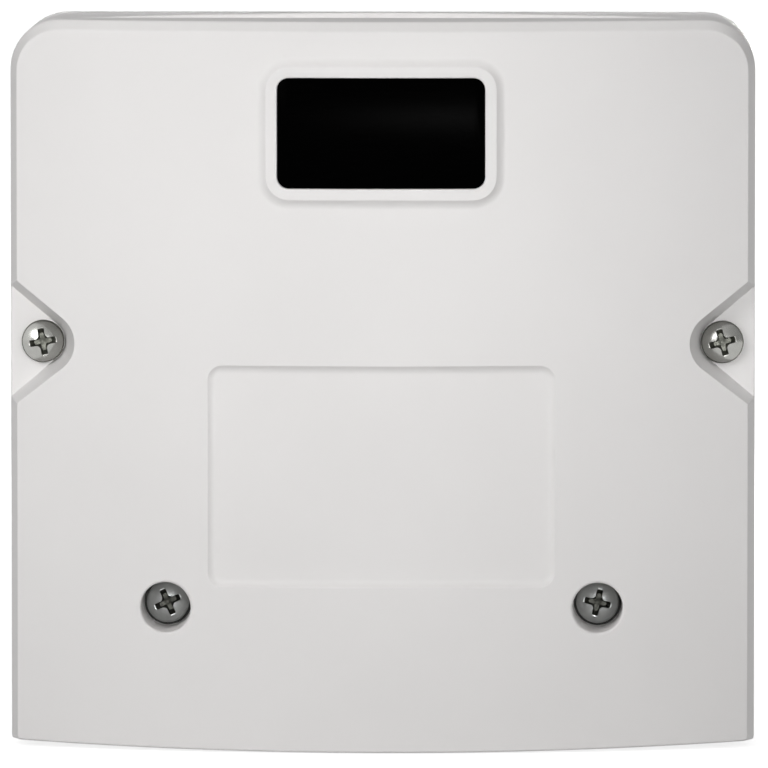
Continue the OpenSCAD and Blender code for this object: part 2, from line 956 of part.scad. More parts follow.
// Relay that runs the motor to close.
module relay_close() {
  color("RoyalBlue")
    upright()
      relay_case(1);
}

// Relay for the courtesy lamp.
module relay_lamp() {
  color("RoyalBlue")
    upright()
      relay_case(2);
}

// Fuse holder: a foot with two spring clips.
module fuse_holder() {
  clip_l = fuse_size[1] / 4;
  clip_w = 2 * fuse_size[0] + 2 * slot_w;
  clip_h = 2 * fuse_size[0];
  color("DarkSlateGray")
    upright() {
      box_at(fuse_at, top_z, holder);
      for (s = [-1, 1])
        difference() {
          box_at([fuse_at[0] + s * (fuse_size[1] - clip_l) / 2, fuse_at[1]], top_z + holder[2] - skin,
            [clip_l, clip_w, clip_h]);
          translate([fuse_at[0] - body_w / 4, fuse_at[1], top_z + holder[2] + slot_w + fuse_size[0]])
            rotate([0, 90, 0])
              cylinder(r = fuse_size[0] + skin, h = body_w / 2);
          box_at(fuse_at, top_z + holder[2] + slot_w + fuse_size[0],
            [body_w / 4, 2 * fuse_size[0] - slot_w, body_w / 4]);
        }
    }
}

// The glass fuse lying in its clips.
module mains_fuse() {
  color("LightGray")
    upright()
      translate([fuse_at[0] - fuse_size[1] / 2, fuse_at[1], top_z + holder[2] + slot_w + fuse_size[0]])
        rotate([0, 90, 0])
          cylinder(r = fuse_size[0], h = fuse_size[1]);
}

// Surge varistor: a disc standing on edge on two legs.
module varistor() {
  lift = slot_d + var_size[0];
  color("MediumBlue")
    upright() {
      translate([var_at[0], var_at[1] + var_size[1] / 2, top_z + lift])
        rotate([90, 0, 0])
          cylinder(r = var_size[0], h = var_size[1]);
      for (s = [-1, 1])
        box_at([var_at[0] + s * var_size[0] / 2, var_at[1]], top_z, [slot_d, slot_d, lift]);
    }
}

// Mains suppression capacitor in its box.
module suppression_capacitor() {
  color("Gold")
    upright()
      box_at(x2_at, top_z, x2_size);
}

// Bridge rectifier.
module rectifier() {
  color("DimGray")
    upright()
      box_at(rect_at, top_z, rect_size);
}

// A round can capacitor with a crimped neck.
module can_capacitor(at, size) {
  translate([at[0], at[1], top_z]) {
    cylinder(r = size[0], h = size[1] / 10);
    cylinder(r = size[0] - slot_w / 2, h = size[1] / 5);
    translate([0, 0, size[1] / 6])
      cylinder(r = size[0], h = size[1] * 5 / 6);
  }
}

// Main filter capacitor.
module filter_capacitor() {
  color("MidnightBlue")
    upright()
      can_capacitor(filter_at, filter_can);
}

// Two small capacitors.
module small_capacitors() {
  color("MidnightBlue")
    upright()
      for (at = small_at)
        can_capacitor(at, small_can);
}

// Heat sink: a plate with fins on its far side.
module heat_sink() {
  color("Silver")
    upright() {
      box_at(sink_at, top_z, sink);
      for (i = [0:fin_n - 1])
        translate([sink_at[0] + sink[0] / 2 - skin,
          sink_at[1] - sink[1] / 2 + i * (sink[1] - fin[1]) / (fin_n - 1), top_z])
          cube([fin[0] + skin, fin[1], sink[2]]);
    }
}

// Power triac standing against the heat sink.
module power_triac() {
  x = sink_at[0] - sink[0] / 2 - triac[1];
  color("DimGray")
    upright() {
      translate([x, sink_at[1] - triac[0] / 2, top_z + slot_d])
        cube([triac[1], triac[0], triac[2]]);
      for (i = [-1, 0, 1])
        translate([x + triac[1] / 2, sink_at[1] + i * triac[0] / 4 - slot_d / 2, top_z])
          cube([slot_d, slot_d, over]);
    }
}

// Socket of the microcontroller.
module ic_socket() {
  color("DimGray")
    upright()
      box_at(socket_at, top_z, socket);
}

// Microcontroller with the mark of its first pin.
module microcontroller() {
  color("DarkSlateGray")
    upright()
      difference() {
        box_at(socket_at, top_z + socket[2], chip);
        translate([socket_at[0] - chip[0] / 2, socket_at[1], top_z + socket[2] + chip[2] / 2])
          cylinder(r = chip[1] / 6, h = chip[2]);
      }
}

// Crystal in its metal case.
module crystal() {
  color("Silver")
    upright() {
      box_at(xtal_at, top_z, [xtal[0] - xtal[1], xtal[1], xtal[2]]);
      for (s = [-1, 1])
        translate([xtal_at[0] + s * (xtal[0] - xtal[1]) / 2, xtal_at[1], top_z])
          cylinder(r = xtal[1] / 2, h = xtal[2]);
    }
}

// Receiver board on its row of pins.
module receiver_board() {
  color("DarkGreen")
    upright() {
      box_at(rx_at, top_z + rx_lift, rx);
      box_at([rx_at[0], rx_at[1] - rx[1] / 3], top_z, [rx[0] * 0.8, header[1], rx_lift + skin]);
    }
}

// Metal can over the receiver circuit.
module receiver_can() {
  color("Silver")
    upright()
      box_at([rx_at[0] + rx[0] / 5, rx_at[1]], top_z + rx_lift + rx[2], rx_can);
}

// Connector for the limit switches, with its row of pins.
module limit_connector() {
  color("Ivory")
    upright() {
      difference() {
        box_at(limit_at, top_z, limit);
        box_at(limit_at, top_z + limit[2] / 3,
          [limit[0] - 2 * limit_wall, limit[1] - 2 * limit_wall, limit[2]]);
      }
      for (i = [-2:2])
        box_at([limit_at[0], limit_at[1] + i * dip_pitch], top_z + limit[2] / 3 - skin,
          [slot_w, slot_w, limit[2] / 2]);
    }
}

// Three status lamps, one for each relay.
module status_lamps() {
  color("Red")
    upright()
      for (i = [0:2])
        translate([relay_at[0] + i * relay_pitch, lamp_y, top_z]) {
          cylinder(r = lamp[0], h = lamp[1] - lamp[0]);
          translate([0, 0, lamp[1] - lamp[0]])
            sphere(r = lamp[0]);
        }
}

// Body of the slide switches with a slot for each slider.
module dip_switch_body() {
  color("Firebrick")
    upright()
      difference() {
        box_at(dip_at, top_z, dip);
        for (i = [0:3])
          box_at([dip_at[0] + (i - 1.5) * dip_pitch, dip_at[1]],
            top_z + dip[2] + slider_out - slider[2] - slider_gap,
            [slider[0] + 2 * slider_gap, slider[1] + slider_travel + 2 * slider_gap, dip[2]]);
      }
}

// One slider at the lower end of its slot.
module dip_slider(i) {
  color("White")
    upright()
      box_at([dip_at[0] + (i - 1.5) * dip_pitch, dip_at[1] - slider_travel / 2],
        top_z + dip[2] + slider_out - slider[2], slider);
}

// First slider.
module dip_slider_1() {
  dip_slider(0);
}

// Second slider.
module dip_slider_2() {
  dip_slider(1);
}

// Third slider.
module dip_slider_3() {
  dip_slider(2);
}

// Fourth slider.
module dip_slider_4() {
  dip_slider(3);
}

// Bodies of the two trimmers, each with a round well.
module trimmer_bodies() {
  color("RoyalBlue")
    upright()
      for (at = trim_at)
        difference() {
          box_at(at, top_z, [trim[0], trim[0], trim[1]]);
          translate([at[0], at[1], top_z + trim[1] + rotor_out - rotor[1]])
            cylinder(r = rotor[0] + rotor_gap, h = rotor[1]);
        }
}

// A trimmer's slotted rotor.
module trimmer_rotor(at) {
  color("White")
    upright()
      translate([at[0], at[1], top_z + trim[1] + rotor_out - rotor[1]])
        difference() {
          cylinder(r = rotor[0], h = rotor[1]);
          translate([-rotor[0] * 0.8, -slot_w / 2, rotor[1] - slot_d])
            cube([rotor[0] * 1.6, slot_w, slot_d + over]);
        }
}

// Trimmer for the motor force.
module trimmer_force() {
  trimmer_rotor(trim_at[0]);
}

// Trimmer for the pause time.
module trimmer_pause() {
  trimmer_rotor(trim_at[1]);
}

// Four spacers between the main board and the display board.
module display_spacers() {
  color("White")
    upright()
      for (s = [-1, 1], y = spacer_y)
        translate([s * spacer_x, y, top_z])
          difference() {
            cylinder(r = spacer_r, h = dlow_z - top_z);
            translate([0, 0, (dlow_z - top_z) / 2])
              cylinder(r = bscrew_r, h = dlow_z);
          }
}

// Pin header between the boards.
module display_header() {
  color("DimGray")
    upright() {
      box_at([0, header_y], top_z, header);
      for (i = [-3:3])
        box_at([i * dip_pitch, header_y], top_z + header[2] - skin,
          [slot_w, slot_w, dlow_z - top_z - header[2] - header[1] + 2 * skin]);
      box_at([0, header_y], dlow_z - header[1], [header[0], header[1], header[1]]);
    }
}

// Display board with its screw holes.
module display_board() {
  color("DarkGreen")
    upright()
      difference() {
        translate([-dboard_x, dboard_low, dlow_z])
          cube([2 * dboard_x, dboard_top - dboard_low, board_t]);
        for (s = [-1, 1], y = spacer_y)
          translate([s * spacer_x, y, dlow_z - over])
            cylinder(r = bscrew_r + screw_gap, h = board_t + 2 * over);
      }
}

// Four screws that hold the display board.
module spacer_screws() {
  color("Silver")
    upright()
      for (s = [-1, 1], y = spacer_y)
        translate([s * spacer_x, y, dtop_z])
          difference() {
            union() {
              cylinder(r = spacer_r, h = bscrew_h);
              translate([0, 0, -standoff_h])
                cylinder(r = bscrew_r - skin, h = standoff_h + skin);
            }
            for (a = [0, 90])
              rotate([0, 0, a])
                translate([-bscrew_r, -slot_w / 2, bscrew_h - slot_d])
                  cube([2 * bscrew_r, slot_w, slot_d + over]);
          }
}

// Three-digit display module behind the window.
module display_module() {
  color("Black")
    upright()
      box_at([0, window_y], dtop_z, module_size);
}

// Bodies of the three setting buttons, each with a well for its stem.
module button_bodies() {
  color("DimGray")
    upright()
      for (i = [-1, 0, 1])
        difference() {
          box_at([i * button_step, button_y], dtop_z, [button[0], button[0], button[1]]);
          translate([i * button_step, button_y, dtop_z + button[1] / 3 - button_rest - button_travel])
            cylinder(r = stem_r + screw_gap, h = button[1]);
        }
}

// A setting button: a stem in its well and a round cap.
module setting_button(i) {
  low = dtop_z + button[1] / 3;
  cap = dtop_z + button[1] + 2 * button_travel;
  color("Gainsboro")
    upright()
      translate([i * button_step, button_y, 0]) {
        translate([0, 0, low])
          cylinder(r = stem_r, h = cap - low + over);
        translate([0, 0, cap])
          cylinder(r = cap_r, h = cap_h);
      }
}

// Button that steps up.
module button_up() {
  setting_button(1);
}

// Button that steps down.
module button_down() {
  setting_button(-1);
}

// Button that stores.
module button_set() {
  setting_button(0);
}

rear_base();
cover_gasket();
cable_grommets();
main_board();
board_screws();
power_terminal_block();
signal_terminal_block();
terminal_screws();
transformer_core();
transformer_bobbin();
relay_open();
relay_close();
relay_lamp();
fuse_holder();
mains_fuse();
varistor();
suppression_capacitor();
rectifier();
filter_capacitor();
small_capacitors();
heat_sink();
power_triac();
ic_socket();
microcontroller();
crystal();
receiver_board();
receiver_can();
limit_connector();
status_lamps();
dip_switch_body();
trimmer_bodies();
display_spacers();
display_header();
display_board();
spacer_screws();
display_module();
button_bodies();
button_up();
button_down();
button_set();
dip_slider_1();
dip_slider_2();
dip_slider_3();
dip_slider_4();
trimmer_force();
trimmer_pause();
front_cover();
display_window();
sealing_washers();
side_screw_left();
side_screw_right();
lower_screw_left();
lower_screw_right();
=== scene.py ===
import math

import bmesh
import bpy
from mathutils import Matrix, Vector
from mathutils.geometry import delaunay_2d_cdt


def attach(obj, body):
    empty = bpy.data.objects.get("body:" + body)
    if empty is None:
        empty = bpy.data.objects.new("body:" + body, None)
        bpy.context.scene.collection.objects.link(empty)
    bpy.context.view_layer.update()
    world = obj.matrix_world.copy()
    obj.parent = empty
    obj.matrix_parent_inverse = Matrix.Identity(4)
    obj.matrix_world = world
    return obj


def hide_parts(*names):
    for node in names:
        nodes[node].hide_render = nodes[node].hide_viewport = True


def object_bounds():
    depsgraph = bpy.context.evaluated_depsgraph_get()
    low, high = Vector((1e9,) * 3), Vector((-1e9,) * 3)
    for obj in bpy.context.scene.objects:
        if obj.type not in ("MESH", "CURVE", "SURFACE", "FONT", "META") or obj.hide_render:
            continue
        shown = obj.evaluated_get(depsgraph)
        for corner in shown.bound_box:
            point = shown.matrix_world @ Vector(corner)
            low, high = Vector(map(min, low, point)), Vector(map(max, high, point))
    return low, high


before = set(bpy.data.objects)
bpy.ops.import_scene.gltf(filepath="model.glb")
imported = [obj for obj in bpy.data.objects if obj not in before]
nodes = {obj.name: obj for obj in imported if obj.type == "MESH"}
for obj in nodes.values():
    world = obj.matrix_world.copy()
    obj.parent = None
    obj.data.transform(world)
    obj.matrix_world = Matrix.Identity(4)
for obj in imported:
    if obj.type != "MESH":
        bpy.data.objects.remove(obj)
cad_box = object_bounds()
scene = bpy.context.scene
scene.view_settings.view_transform = "Standard"
MM = 0.001

# The viewpoint: a long lens a little above the middle of the front and a hair to its right,
# as the foreshortened top wall and the shifted screw heads of the photograph say.
AIM = Vector((0.28, -33.0, -0.25)) * MM
AZIMUTH, ELEVATION, DISTANCE, LENS = 1.1, 4.2, 2.25, 560.6


def toward(azimuth, elevation):
    """Direction from the object to a place in front of it, from two angles in degrees."""
    azimuth, elevation = math.radians(azimuth), math.radians(elevation)
    level = math.cos(elevation)
    return Vector((math.sin(azimuth) * level, -math.cos(azimuth) * level, math.sin(elevation)))


camera = bpy.data.objects.new("viewpoint", bpy.data.cameras.new("viewpoint"))
camera.data.lens, camera.data.sensor_width = LENS, 36.0
camera.data.clip_start, camera.data.clip_end = 0.05, 60.0
back = toward(AZIMUTH, ELEVATION)
camera.location = AIM + back * DISTANCE
camera.rotation_euler = (-back).to_track_quat("-Z", "Y").to_euler()
scene.collection.objects.link(camera)
scene.camera = camera


# The studio: a white floor and a surround that is white to the eye, dimmer as a light and
# strongest from the front, with three softboxes: one to the left, one in front and one behind.
def srgb(code):
    """Linear colour, with alpha, of an sRGB hex value."""
    parts = [int(code[i:i + 2], 16) / 255 for i in (1, 3, 5)]
    return [c / 12.92 if c <= 0.04045 else ((c + 0.055) / 1.055) ** 2.4 for c in parts] + [1.0]


def add_node(tree, kind, settings=None, links=None):
    """One node, with values for its properties or sockets and links into its sockets."""
    made = tree.nodes.new(kind)
    for key, value in (settings or {}).items():
        if isinstance(key, str) and hasattr(made, key):
            setattr(made, key, value)
        else:
            made.inputs[key].default_value = value
    for key, source in (links or {}).items():
        tree.links.new(source, made.inputs[key])
    return made


def new_material(name):
    """An empty node material, its tree and the place on the object that its patterns read."""
    made = bpy.data.materials.new(name)
    made.use_nodes = True
    made.node_tree.nodes.clear()
    return made, made.node_tree, add_node(made.node_tree, "ShaderNodeTexCoord").outputs["Object"]


FILL_TOWARD, FILL_MIDDLE, FILL_SWING = Vector((0.4, -0.9, 0.16)), 0.147, 0.44
MIRROR_LEFT, MIRROR_RIGHT = 1.2, 0.45
FLOOR_GLOW, GLOW_FROM, GLOW_TO = 0.8, 0.12, 0.7
world = bpy.data.worlds.new("studio")
scene.world = world
world.use_nodes = True
tree = world.node_tree
tree.nodes.clear()
path = add_node(tree, "ShaderNodeLightPath")
seen = add_node(tree, "ShaderNodeMath", {"operation": "MAXIMUM"},
                {0: path.outputs["Is Camera Ray"], 1: path.outputs["Is Transmission Ray"]})
way = add_node(tree, "ShaderNodeTexCoord").outputs["Generated"]
facing = add_node(tree, "ShaderNodeVectorMath", {"operation": "DOT_PRODUCT", 1: FILL_TOWARD}, {0: way})
fill = add_node(tree, "ShaderNodeMapRange",
                {"From Min": -FILL_MIDDLE / FILL_SWING, "To Max": FILL_MIDDLE + FILL_SWING},
                {"Value": facing.outputs["Value"]})
level = add_node(tree, "ShaderNodeMix", {"data_type": "FLOAT", 3: 1.0}, {0: seen.outputs[0], 2: fill.outputs[0]})
way = add_node(tree, "ShaderNodeSeparateXYZ", None, {0: way})
mirrored = add_node(tree, "ShaderNodeMapRange",
                    {"From Min": -0.8, "From Max": 0.8, "To Min": MIRROR_LEFT, "To Max": MIRROR_RIGHT},
                    {"Value": way.outputs["X"]})
level = add_node(tree, "ShaderNodeMix", {"data_type": "FLOAT"},
                 {0: path.outputs["Is Glossy Ray"], 2: level.outputs[0], 3: mirrored.outputs[0]})
sky = add_node(tree, "ShaderNodeBackground", {"Color": srgb("#FFFFFF")}, {"Strength": level.outputs[0]})
add_node(tree, "ShaderNodeOutputWorld", None, {"Surface": sky.outputs[0]})

floor_mesh = bpy.data.meshes.new("studio_floor")
floor_z = cad_box[0].z - 0.2 * MM
floor_mesh.from_pydata([(-8, -4, floor_z), (8, -4, floor_z), (8, 20, floor_z), (-8, 20, floor_z)],
                       [], [(0, 1, 2, 3)])
floor = bpy.data.objects.new("studio_floor", floor_mesh)
scene.collection.objects.link(floor)
floor_white, tree, place = new_material("white_studio_floor")
path = add_node(tree, "ShaderNodeLightPath")
seen = add_node(tree, "ShaderNodeMath", {"operation": "MAXIMUM"},
                {0: path.outputs["Is Camera Ray"], 1: path.outputs["Is Glossy Ray"]})
seen = add_node(tree, "ShaderNodeMath", {"operation": "MAXIMUM"},
                {0: seen.outputs[0], 1: path.outputs["Is Transmission Ray"]})
# Painted light: the floor glows at FLOOR_GLOW near the object, rising to full glow at GLOW_TO, so the far floor is
# white while the object's shadow still shows close to it.
away = add_node(tree, "ShaderNodeVectorMath", {"operation": "LENGTH"}, {0: place})
glow = add_node(tree, "ShaderNodeMapRange", {"From Min": GLOW_FROM, "From Max": GLOW_TO, "To Min": FLOOR_GLOW},
                {"Value": away.outputs["Value"]})
glow = add_node(tree, "ShaderNodeMath", {"operation": "MULTIPLY"}, {0: seen.outputs[0], 1: glow.outputs[0]})
matt = add_node(tree, "ShaderNodeBsdfDiffuse", {"Color": srgb("#CFCFCF")})
shine = add_node(tree, "ShaderNodeEmission", {"Color": srgb("#FFFFFF")}, {"Strength": glow.outputs[0]})
both = add_node(tree, "ShaderNodeAddShader", None, {0: matt.outputs[0], 1: shine.outputs[0]})
add_node(tree, "ShaderNodeOutputMaterial", None, {"Surface": both.outputs[0]})
floor_mesh.materials.append(floor_white)


def softbox(name, height, azimuth, elevation, distance, size, energy, spread):
    """A soft lamp with a grid, of a width and height, turned on the object at a height above its middle."""
    lamp = bpy.data.objects.new(name, bpy.data.lights.new(name, "AREA"))
    lamp.data.shape, (lamp.data.size, lamp.data.size_y) = "ELLIPSE", size
    lamp.data.energy, lamp.data.spread = energy, math.radians(spread)
    away = toward(azimuth, elevation)
    lamp.location = AIM + Vector((0.0, 0.0, height)) * MM + away * distance
    lamp.rotation_euler = (-away).to_track_quat("-Z", "Y").to_euler()
    scene.collection.objects.link(lamp)


softbox("side_softbox", 25, -37, 20, 0.55, (0.3, 0.3), 0.203, 75)
softbox("front_softbox", 36, 8, 5, 0.6, (0.5, 0.1), 0.088, 36)
softbox("back_softbox", 0, 180, 2, 0.8, (0.5, 0.12), 0.72, 70)


# Rear base: a deep tray injection-moulded in off-white ABS, with screw pillars, standoffs and a
# drip lip along its top edge. Moulding leaves every edge a little round and the walls finely grained.
def moulded_plastic(name, pale, deep, roughness, grain_mm=0.5, grain_depth_mm=0.006, specular=0.4):
    """Injection-moulded plastic: two near shades in soft clouds and a fine spark-eroded grain."""
    made, tree, place = new_material(name)
    clouds = add_node(tree, "ShaderNodeTexNoise", {"Scale": 1000 / 28.0, "Detail": 3.0}, {"Vector": place})
    tint = add_node(tree, "ShaderNodeMix", {"data_type": "RGBA", 6: srgb(deep), 7: srgb(pale)},
                    {"Factor": clouds.outputs["Fac"]})
    grain = add_node(tree, "ShaderNodeTexNoise", {"Scale": 1000 / grain_mm, "Detail": 2.0}, {"Vector": place})
    sheen = add_node(tree, "ShaderNodeMapRange", {"To Min": roughness - 0.05, "To Max": roughness + 0.05},
                     {"Value": grain.outputs["Fac"]})
    bump = add_node(tree, "ShaderNodeBump", {"Strength": 1.0, "Distance": grain_depth_mm * MM},
                    {"Height": grain.outputs["Fac"]})
    skin = add_node(tree, "ShaderNodeBsdfPrincipled", {"IOR": 1.5, "Specular IOR Level": specular},
                    {"Base Color": tint.outputs[2], "Roughness": sheen.outputs[0], "Normal": bump.outputs[0]})
    add_node(tree, "ShaderNodeOutputMaterial", None, {"Surface": skin.outputs[0]})
    return made


def smooth(mesh, angle=35.0):
    """Smooth shading that breaks where two faces meet more sharply than the angle."""
    mesh.polygons.foreach_set("use_smooth", [True] * len(mesh.polygons))
    mesh.set_sharp_from_angle(angle=math.radians(angle))


def piece_from(bm, name, materials, body, stands_for=()):
    """A finished piece from a bmesh in millimetres, riding on a body."""
    bmesh.ops.scale(bm, vec=(MM, MM, MM), verts=bm.verts)
    mesh = bpy.data.meshes.new(name)
    bm.to_mesh(mesh)
    bm.free()
    smooth(mesh)
    for material in materials:
        mesh.materials.append(material)
    made = bpy.data.objects.new(name, mesh)
    scene.collection.objects.link(made)
    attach(made, body)
    if stands_for:
        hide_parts(*stands_for)
    return made


SHARP = math.radians(40)


def softened(node, name, materials, radius, body="housing", pick=None):
    """A copy of a CAD piece with its sharp edges rounded; pick chooses a face's material by its place."""
    bm = bmesh.new()
    bm.from_mesh(nodes[node].data)
    bmesh.ops.scale(bm, vec=(1 / MM, 1 / MM, 1 / MM), verts=bm.verts)
    bmesh.ops.remove_doubles(bm, verts=bm.verts, dist=0.002)
    bmesh.ops.dissolve_limit(bm, angle_limit=math.radians(0.5), verts=bm.verts, edges=bm.edges)
    bmesh.ops.connect_verts_concave(bm, faces=bm.faces)
    sharp = [e for e in bm.edges if e.is_manifold and e.calc_face_angle() > SHARP]
    bmesh.ops.bevel(bm, geom=sharp, offset=radius, segments=2, profile=0.5, affect="EDGES", clamp_overlap=False)
    for face in bm.faces if pick else ():
        face.material_index = pick(face.calc_center_median())
    return piece_from(bm, name, materials, body, [node])


abs_white = moulded_plastic("moulded_white_abs", "#ECEAE9", "#E6E4E3", 0.44)
softened("rear_base", "base_tray", [abs_white], 0.35)


# Seals: a rubber ring lies in the groove of the tray's rim, and three rubber grommets sit in its
# bottom wall. Moulded black EPDM rubber is matt and slightly chalky.
HALF_W, TOP, CORNER_R, ARCH_R, PARTING = 70.0, 68.5, 9.5, 2042.27, 29.0
GASKET_IN, GASKET_W, GASKET_H = 0.8, 1.4, 1.0


def bottom_z(x):
    """Height of the bowed bottom edge."""
    return ARCH_R - TOP - math.sqrt(ARCH_R ** 2 - x * x)


def spread(points, step, closed=True):
    """The points of a line with long stretches divided."""
    made = []
    for i in range(len(points) - (0 if closed else 1)):
        (ax, az), (bx, bz) = points[i], points[(i + 1) % len(points)]
        count = max(1, round(math.hypot(bx - ax, bz - az) / step))
        made += [(ax + (bx - ax) * k / count, az + (bz - az) * k / count) for k in range(count)]
    return made if closed else made + [points[-1]]


def inner_ring(inset, step, turns=8):
    """Points round the outline moved in by a distance, with a level bottom edge."""
    low = bottom_z(HALF_W) + inset
    made = []
    for i in range(turns + 1):
        a = math.pi / 2 * i / turns
        made.append((HALF_W - CORNER_R + (CORNER_R - inset) * math.cos(a),
                     TOP - CORNER_R + (CORNER_R - inset) * math.sin(a)))
    made += [(-x, z) for x, z in reversed(made)]
    return spread(made + [(inset - HALF_W, low), (HALF_W - inset, low)], step)


def shrunk(ring, distance):
    """A ring moved inward, point by point."""
    made = []
    for i, (x, z) in enumerate(ring):
        (ax, az), (bx, bz) = ring[i - 1], ring[(i + 1) % len(ring)]
        length = math.hypot(bx - ax, bz - az)
        made.append((x - (bz - az) / length * distance, z + (bx - ax) / length * distance))
    return made


def lift(ring, height):
    """A flat ring at one distance from the wall, or at the distance of a surface."""
    return [(x, -(height(x, z) if callable(height) else height), z) for x, z in ring]


def add_walls(bm, rings):
    """Walls between rings of the same number of points; returns the new faces."""
    rows, made = [[bm.verts.new(p) for p in ring] for ring in rings], []
    for low, high in zip(rows, rows[1:]):
        made += [bm.faces.new([low[i - 1], low[i], high[i], high[i - 1]]) for i in range(len(low))]
    return made


rubber = moulded_plastic("black_seal_rubber", "#242426", "#1A1A1B", 0.78, 0.8, 0.01, 0.3)
outer = inner_ring(GASKET_IN, 2.0)
profile = [(0.0, -GASKET_H), (0.0, -0.25), (0.08, -0.08), (0.25, 0.0)]
profile += [(GASKET_W - d, h) for d, h in reversed(profile)] + profile[:1]
bm = bmesh.new()
add_walls(bm, [lift(shrunk(outer, d), PARTING + h) for d, h in profile])
bmesh.ops.remove_doubles(bm, verts=bm.verts, dist=0.002)
bmesh.ops.recalc_face_normals(bm, faces=bm.faces)
piece_from(bm, "seal_ring", [rubber], "housing", ["cover_gasket"])
softened("cable_grommets", "grommets", [rubber], 0.3)


# Main board: glass-epoxy laminate under green solder resist, on four standoffs of the tray. Copper
# tracks show through the resist as slightly raised, paler lines.
def circuit_board(name):
    """Green resist over woven glass, with runs of tracks in places and tinned vias."""
    made, tree, place = new_material(name)
    plane = add_node(tree, "ShaderNodeMapping", {"Rotation": (math.pi / 2, 0.0, 0.0), "Scale": (1000, 1000, 1000)},
                     {"Vector": place}).outputs[0]
    runs = add_node(tree, "ShaderNodeTexBrick", {
        "offset": 0.37, "squash": 0.6, "squash_frequency": 3, "Scale": 1.0, "Mortar Size": 0.2,
        "Mortar Smooth": 0.1, "Brick Width": 11.0, "Row Height": 1.27}, {"Vector": plane})
    routed = add_node(tree, "ShaderNodeTexNoise", {"Scale": 1 / 9.0, "Detail": 0.0}, {"Vector": plane})
    routed = add_node(tree, "ShaderNodeMapRange", {"From Min": 0.47, "From Max": 0.49},
                      {"Value": routed.outputs["Fac"]})
    copper = add_node(tree, "ShaderNodeMath", {"operation": "MULTIPLY"}, {0: runs.outputs["Fac"], 1: routed.outputs[0]})
    holes = add_node(tree, "ShaderNodeTexVoronoi", {"Scale": 1 / 5.08, "Randomness": 0.5}, {"Vector": plane})
    vias = add_node(tree, "ShaderNodeMapRange", {"From Min": 0.08, "From Max": 0.1, "To Min": 1.0, "To Max": 0.0},
                    {"Value": holes.outputs["Distance"]})
    weave = add_node(tree, "ShaderNodeTexNoise", {"Scale": 1000 / 0.6, "Detail": 2.0}, {"Vector": place})
    resist = add_node(tree, "ShaderNodeMix", {"data_type": "RGBA", 6: srgb("#174A2B"), 7: srgb("#1E5634")},
                      {"Factor": weave.outputs["Fac"]})
    tint = add_node(tree, "ShaderNodeMix", {"data_type": "RGBA", 7: srgb("#33754A")},
                    {"Factor": copper.outputs[0], 6: resist.outputs[2]})
    tint = add_node(tree, "ShaderNodeMix", {"data_type": "RGBA", 7: srgb("#B4B7AE")},
                    {"Factor": vias.outputs[0], 6: tint.outputs[2]})
    bump = add_node(tree, "ShaderNodeBump", {"Strength": 1.0, "Distance": 0.03 * MM}, {"Height": copper.outputs[0]})
    skin = add_node(tree, "ShaderNodeBsdfPrincipled", {"Roughness": 0.36, "Specular IOR Level": 0.5},
                    {"Base Color": tint.outputs[2], "Normal": bump.outputs[0]})
    add_node(tree, "ShaderNodeOutputMaterial", None, {"Surface": skin.outputs[0]})
    return made


laminate = circuit_board("green_board_laminate")
softened("main_board", "drive_board", [laminate], 0.1)


# Board screws: four pan-head screws of zinc-plated steel hold the board down on the standoffs. The
# plating is bright and a little mottled, with fine marks of the tool that formed the heads.
def plated_steel(name, pale, deep, roughness, marks_mm=0.15):
    """Zinc-plated steel: slightly mottled, with fine marks left by the tool that formed it."""
    made, tree, place = new_material(name)
    mottle = add_node(tree, "ShaderNodeTexNoise", {"Scale": 1000 / 1.6, "Detail": 4.0}, {"Vector": place})
    tint = add_node(tree, "ShaderNodeMix", {"data_type": "RGBA", 6: srgb(deep), 7: srgb(pale)},
                    {"Factor": mottle.outputs["Fac"]})
    marks = add_node(tree, "ShaderNodeTexNoise", {"Scale": 1000 / marks_mm, "Detail": 2.0}, {"Vector": place})
    sheen = add_node(tree, "ShaderNodeMapRange", {"To Min": roughness - 0.06, "To Max": roughness + 0.1},
                     {"Value": mottle.outputs["Fac"]})
    bump = add_node(tree, "ShaderNodeBump", {"Strength": 0.5, "Distance": 0.004 * MM}, {"Height": marks.outputs["Fac"]})
    skin = add_node(tree, "ShaderNodeBsdfPrincipled", {"Metallic": 1.0},
                    {"Base Color": tint.outputs[2], "Roughness": sheen.outputs[0], "Normal": bump.outputs[0]})
    add_node(tree, "ShaderNodeOutputMaterial", None, {"Surface": skin.outputs[0]})
    return made


zinc = plated_steel("zinc_plated_steel", "#C4C4C0", "#ABABA8", 0.26)
softened("board_screws", "board_fixings", [zinc], 0.15)


# Small parts along the board's left edge: a row of soldered chip resistors, each a dark body
# between two tinned ends. They repeat, so a node tree sets them out.
row_tree = bpy.data.node_groups.new("row_of_pieces", "GeometryNodeTree")
for label, kind in (("Count", "NodeSocketInt"), ("Start", "NodeSocketVector"), ("Step", "NodeSocketVector"),
                    ("Piece", "NodeSocketObject"), ("Material", "NodeSocketMaterial")):
    row_tree.interface.new_socket(label, in_out="INPUT", socket_type=kind)
row_tree.interface.new_socket("Row", in_out="OUTPUT", socket_type="NodeSocketGeometry")
given = add_node(row_tree, "NodeGroupInput")
line = add_node(row_tree, "GeometryNodeMeshLine", {"mode": "OFFSET"}, {
    "Count": given.outputs["Count"], "Start Location": given.outputs["Start"], "Offset": given.outputs["Step"]})
piece = add_node(row_tree, "GeometryNodeObjectInfo", None, {"Object": given.outputs["Piece"]})
copies = add_node(row_tree, "GeometryNodeInstanceOnPoints", None, {
    "Points": line.outputs[0], "Instance": piece.outputs["Geometry"]})
real = add_node(row_tree, "GeometryNodeRealizeInstances", None, {"Geometry": copies.outputs[0]})
dressed = add_node(row_tree, "GeometryNodeSetMaterial", None, {
    "Geometry": real.outputs[0], "Material": given.outputs["Material"]})
add_node(row_tree, "NodeGroupOutput", None, {"Row": dressed.outputs[0]})


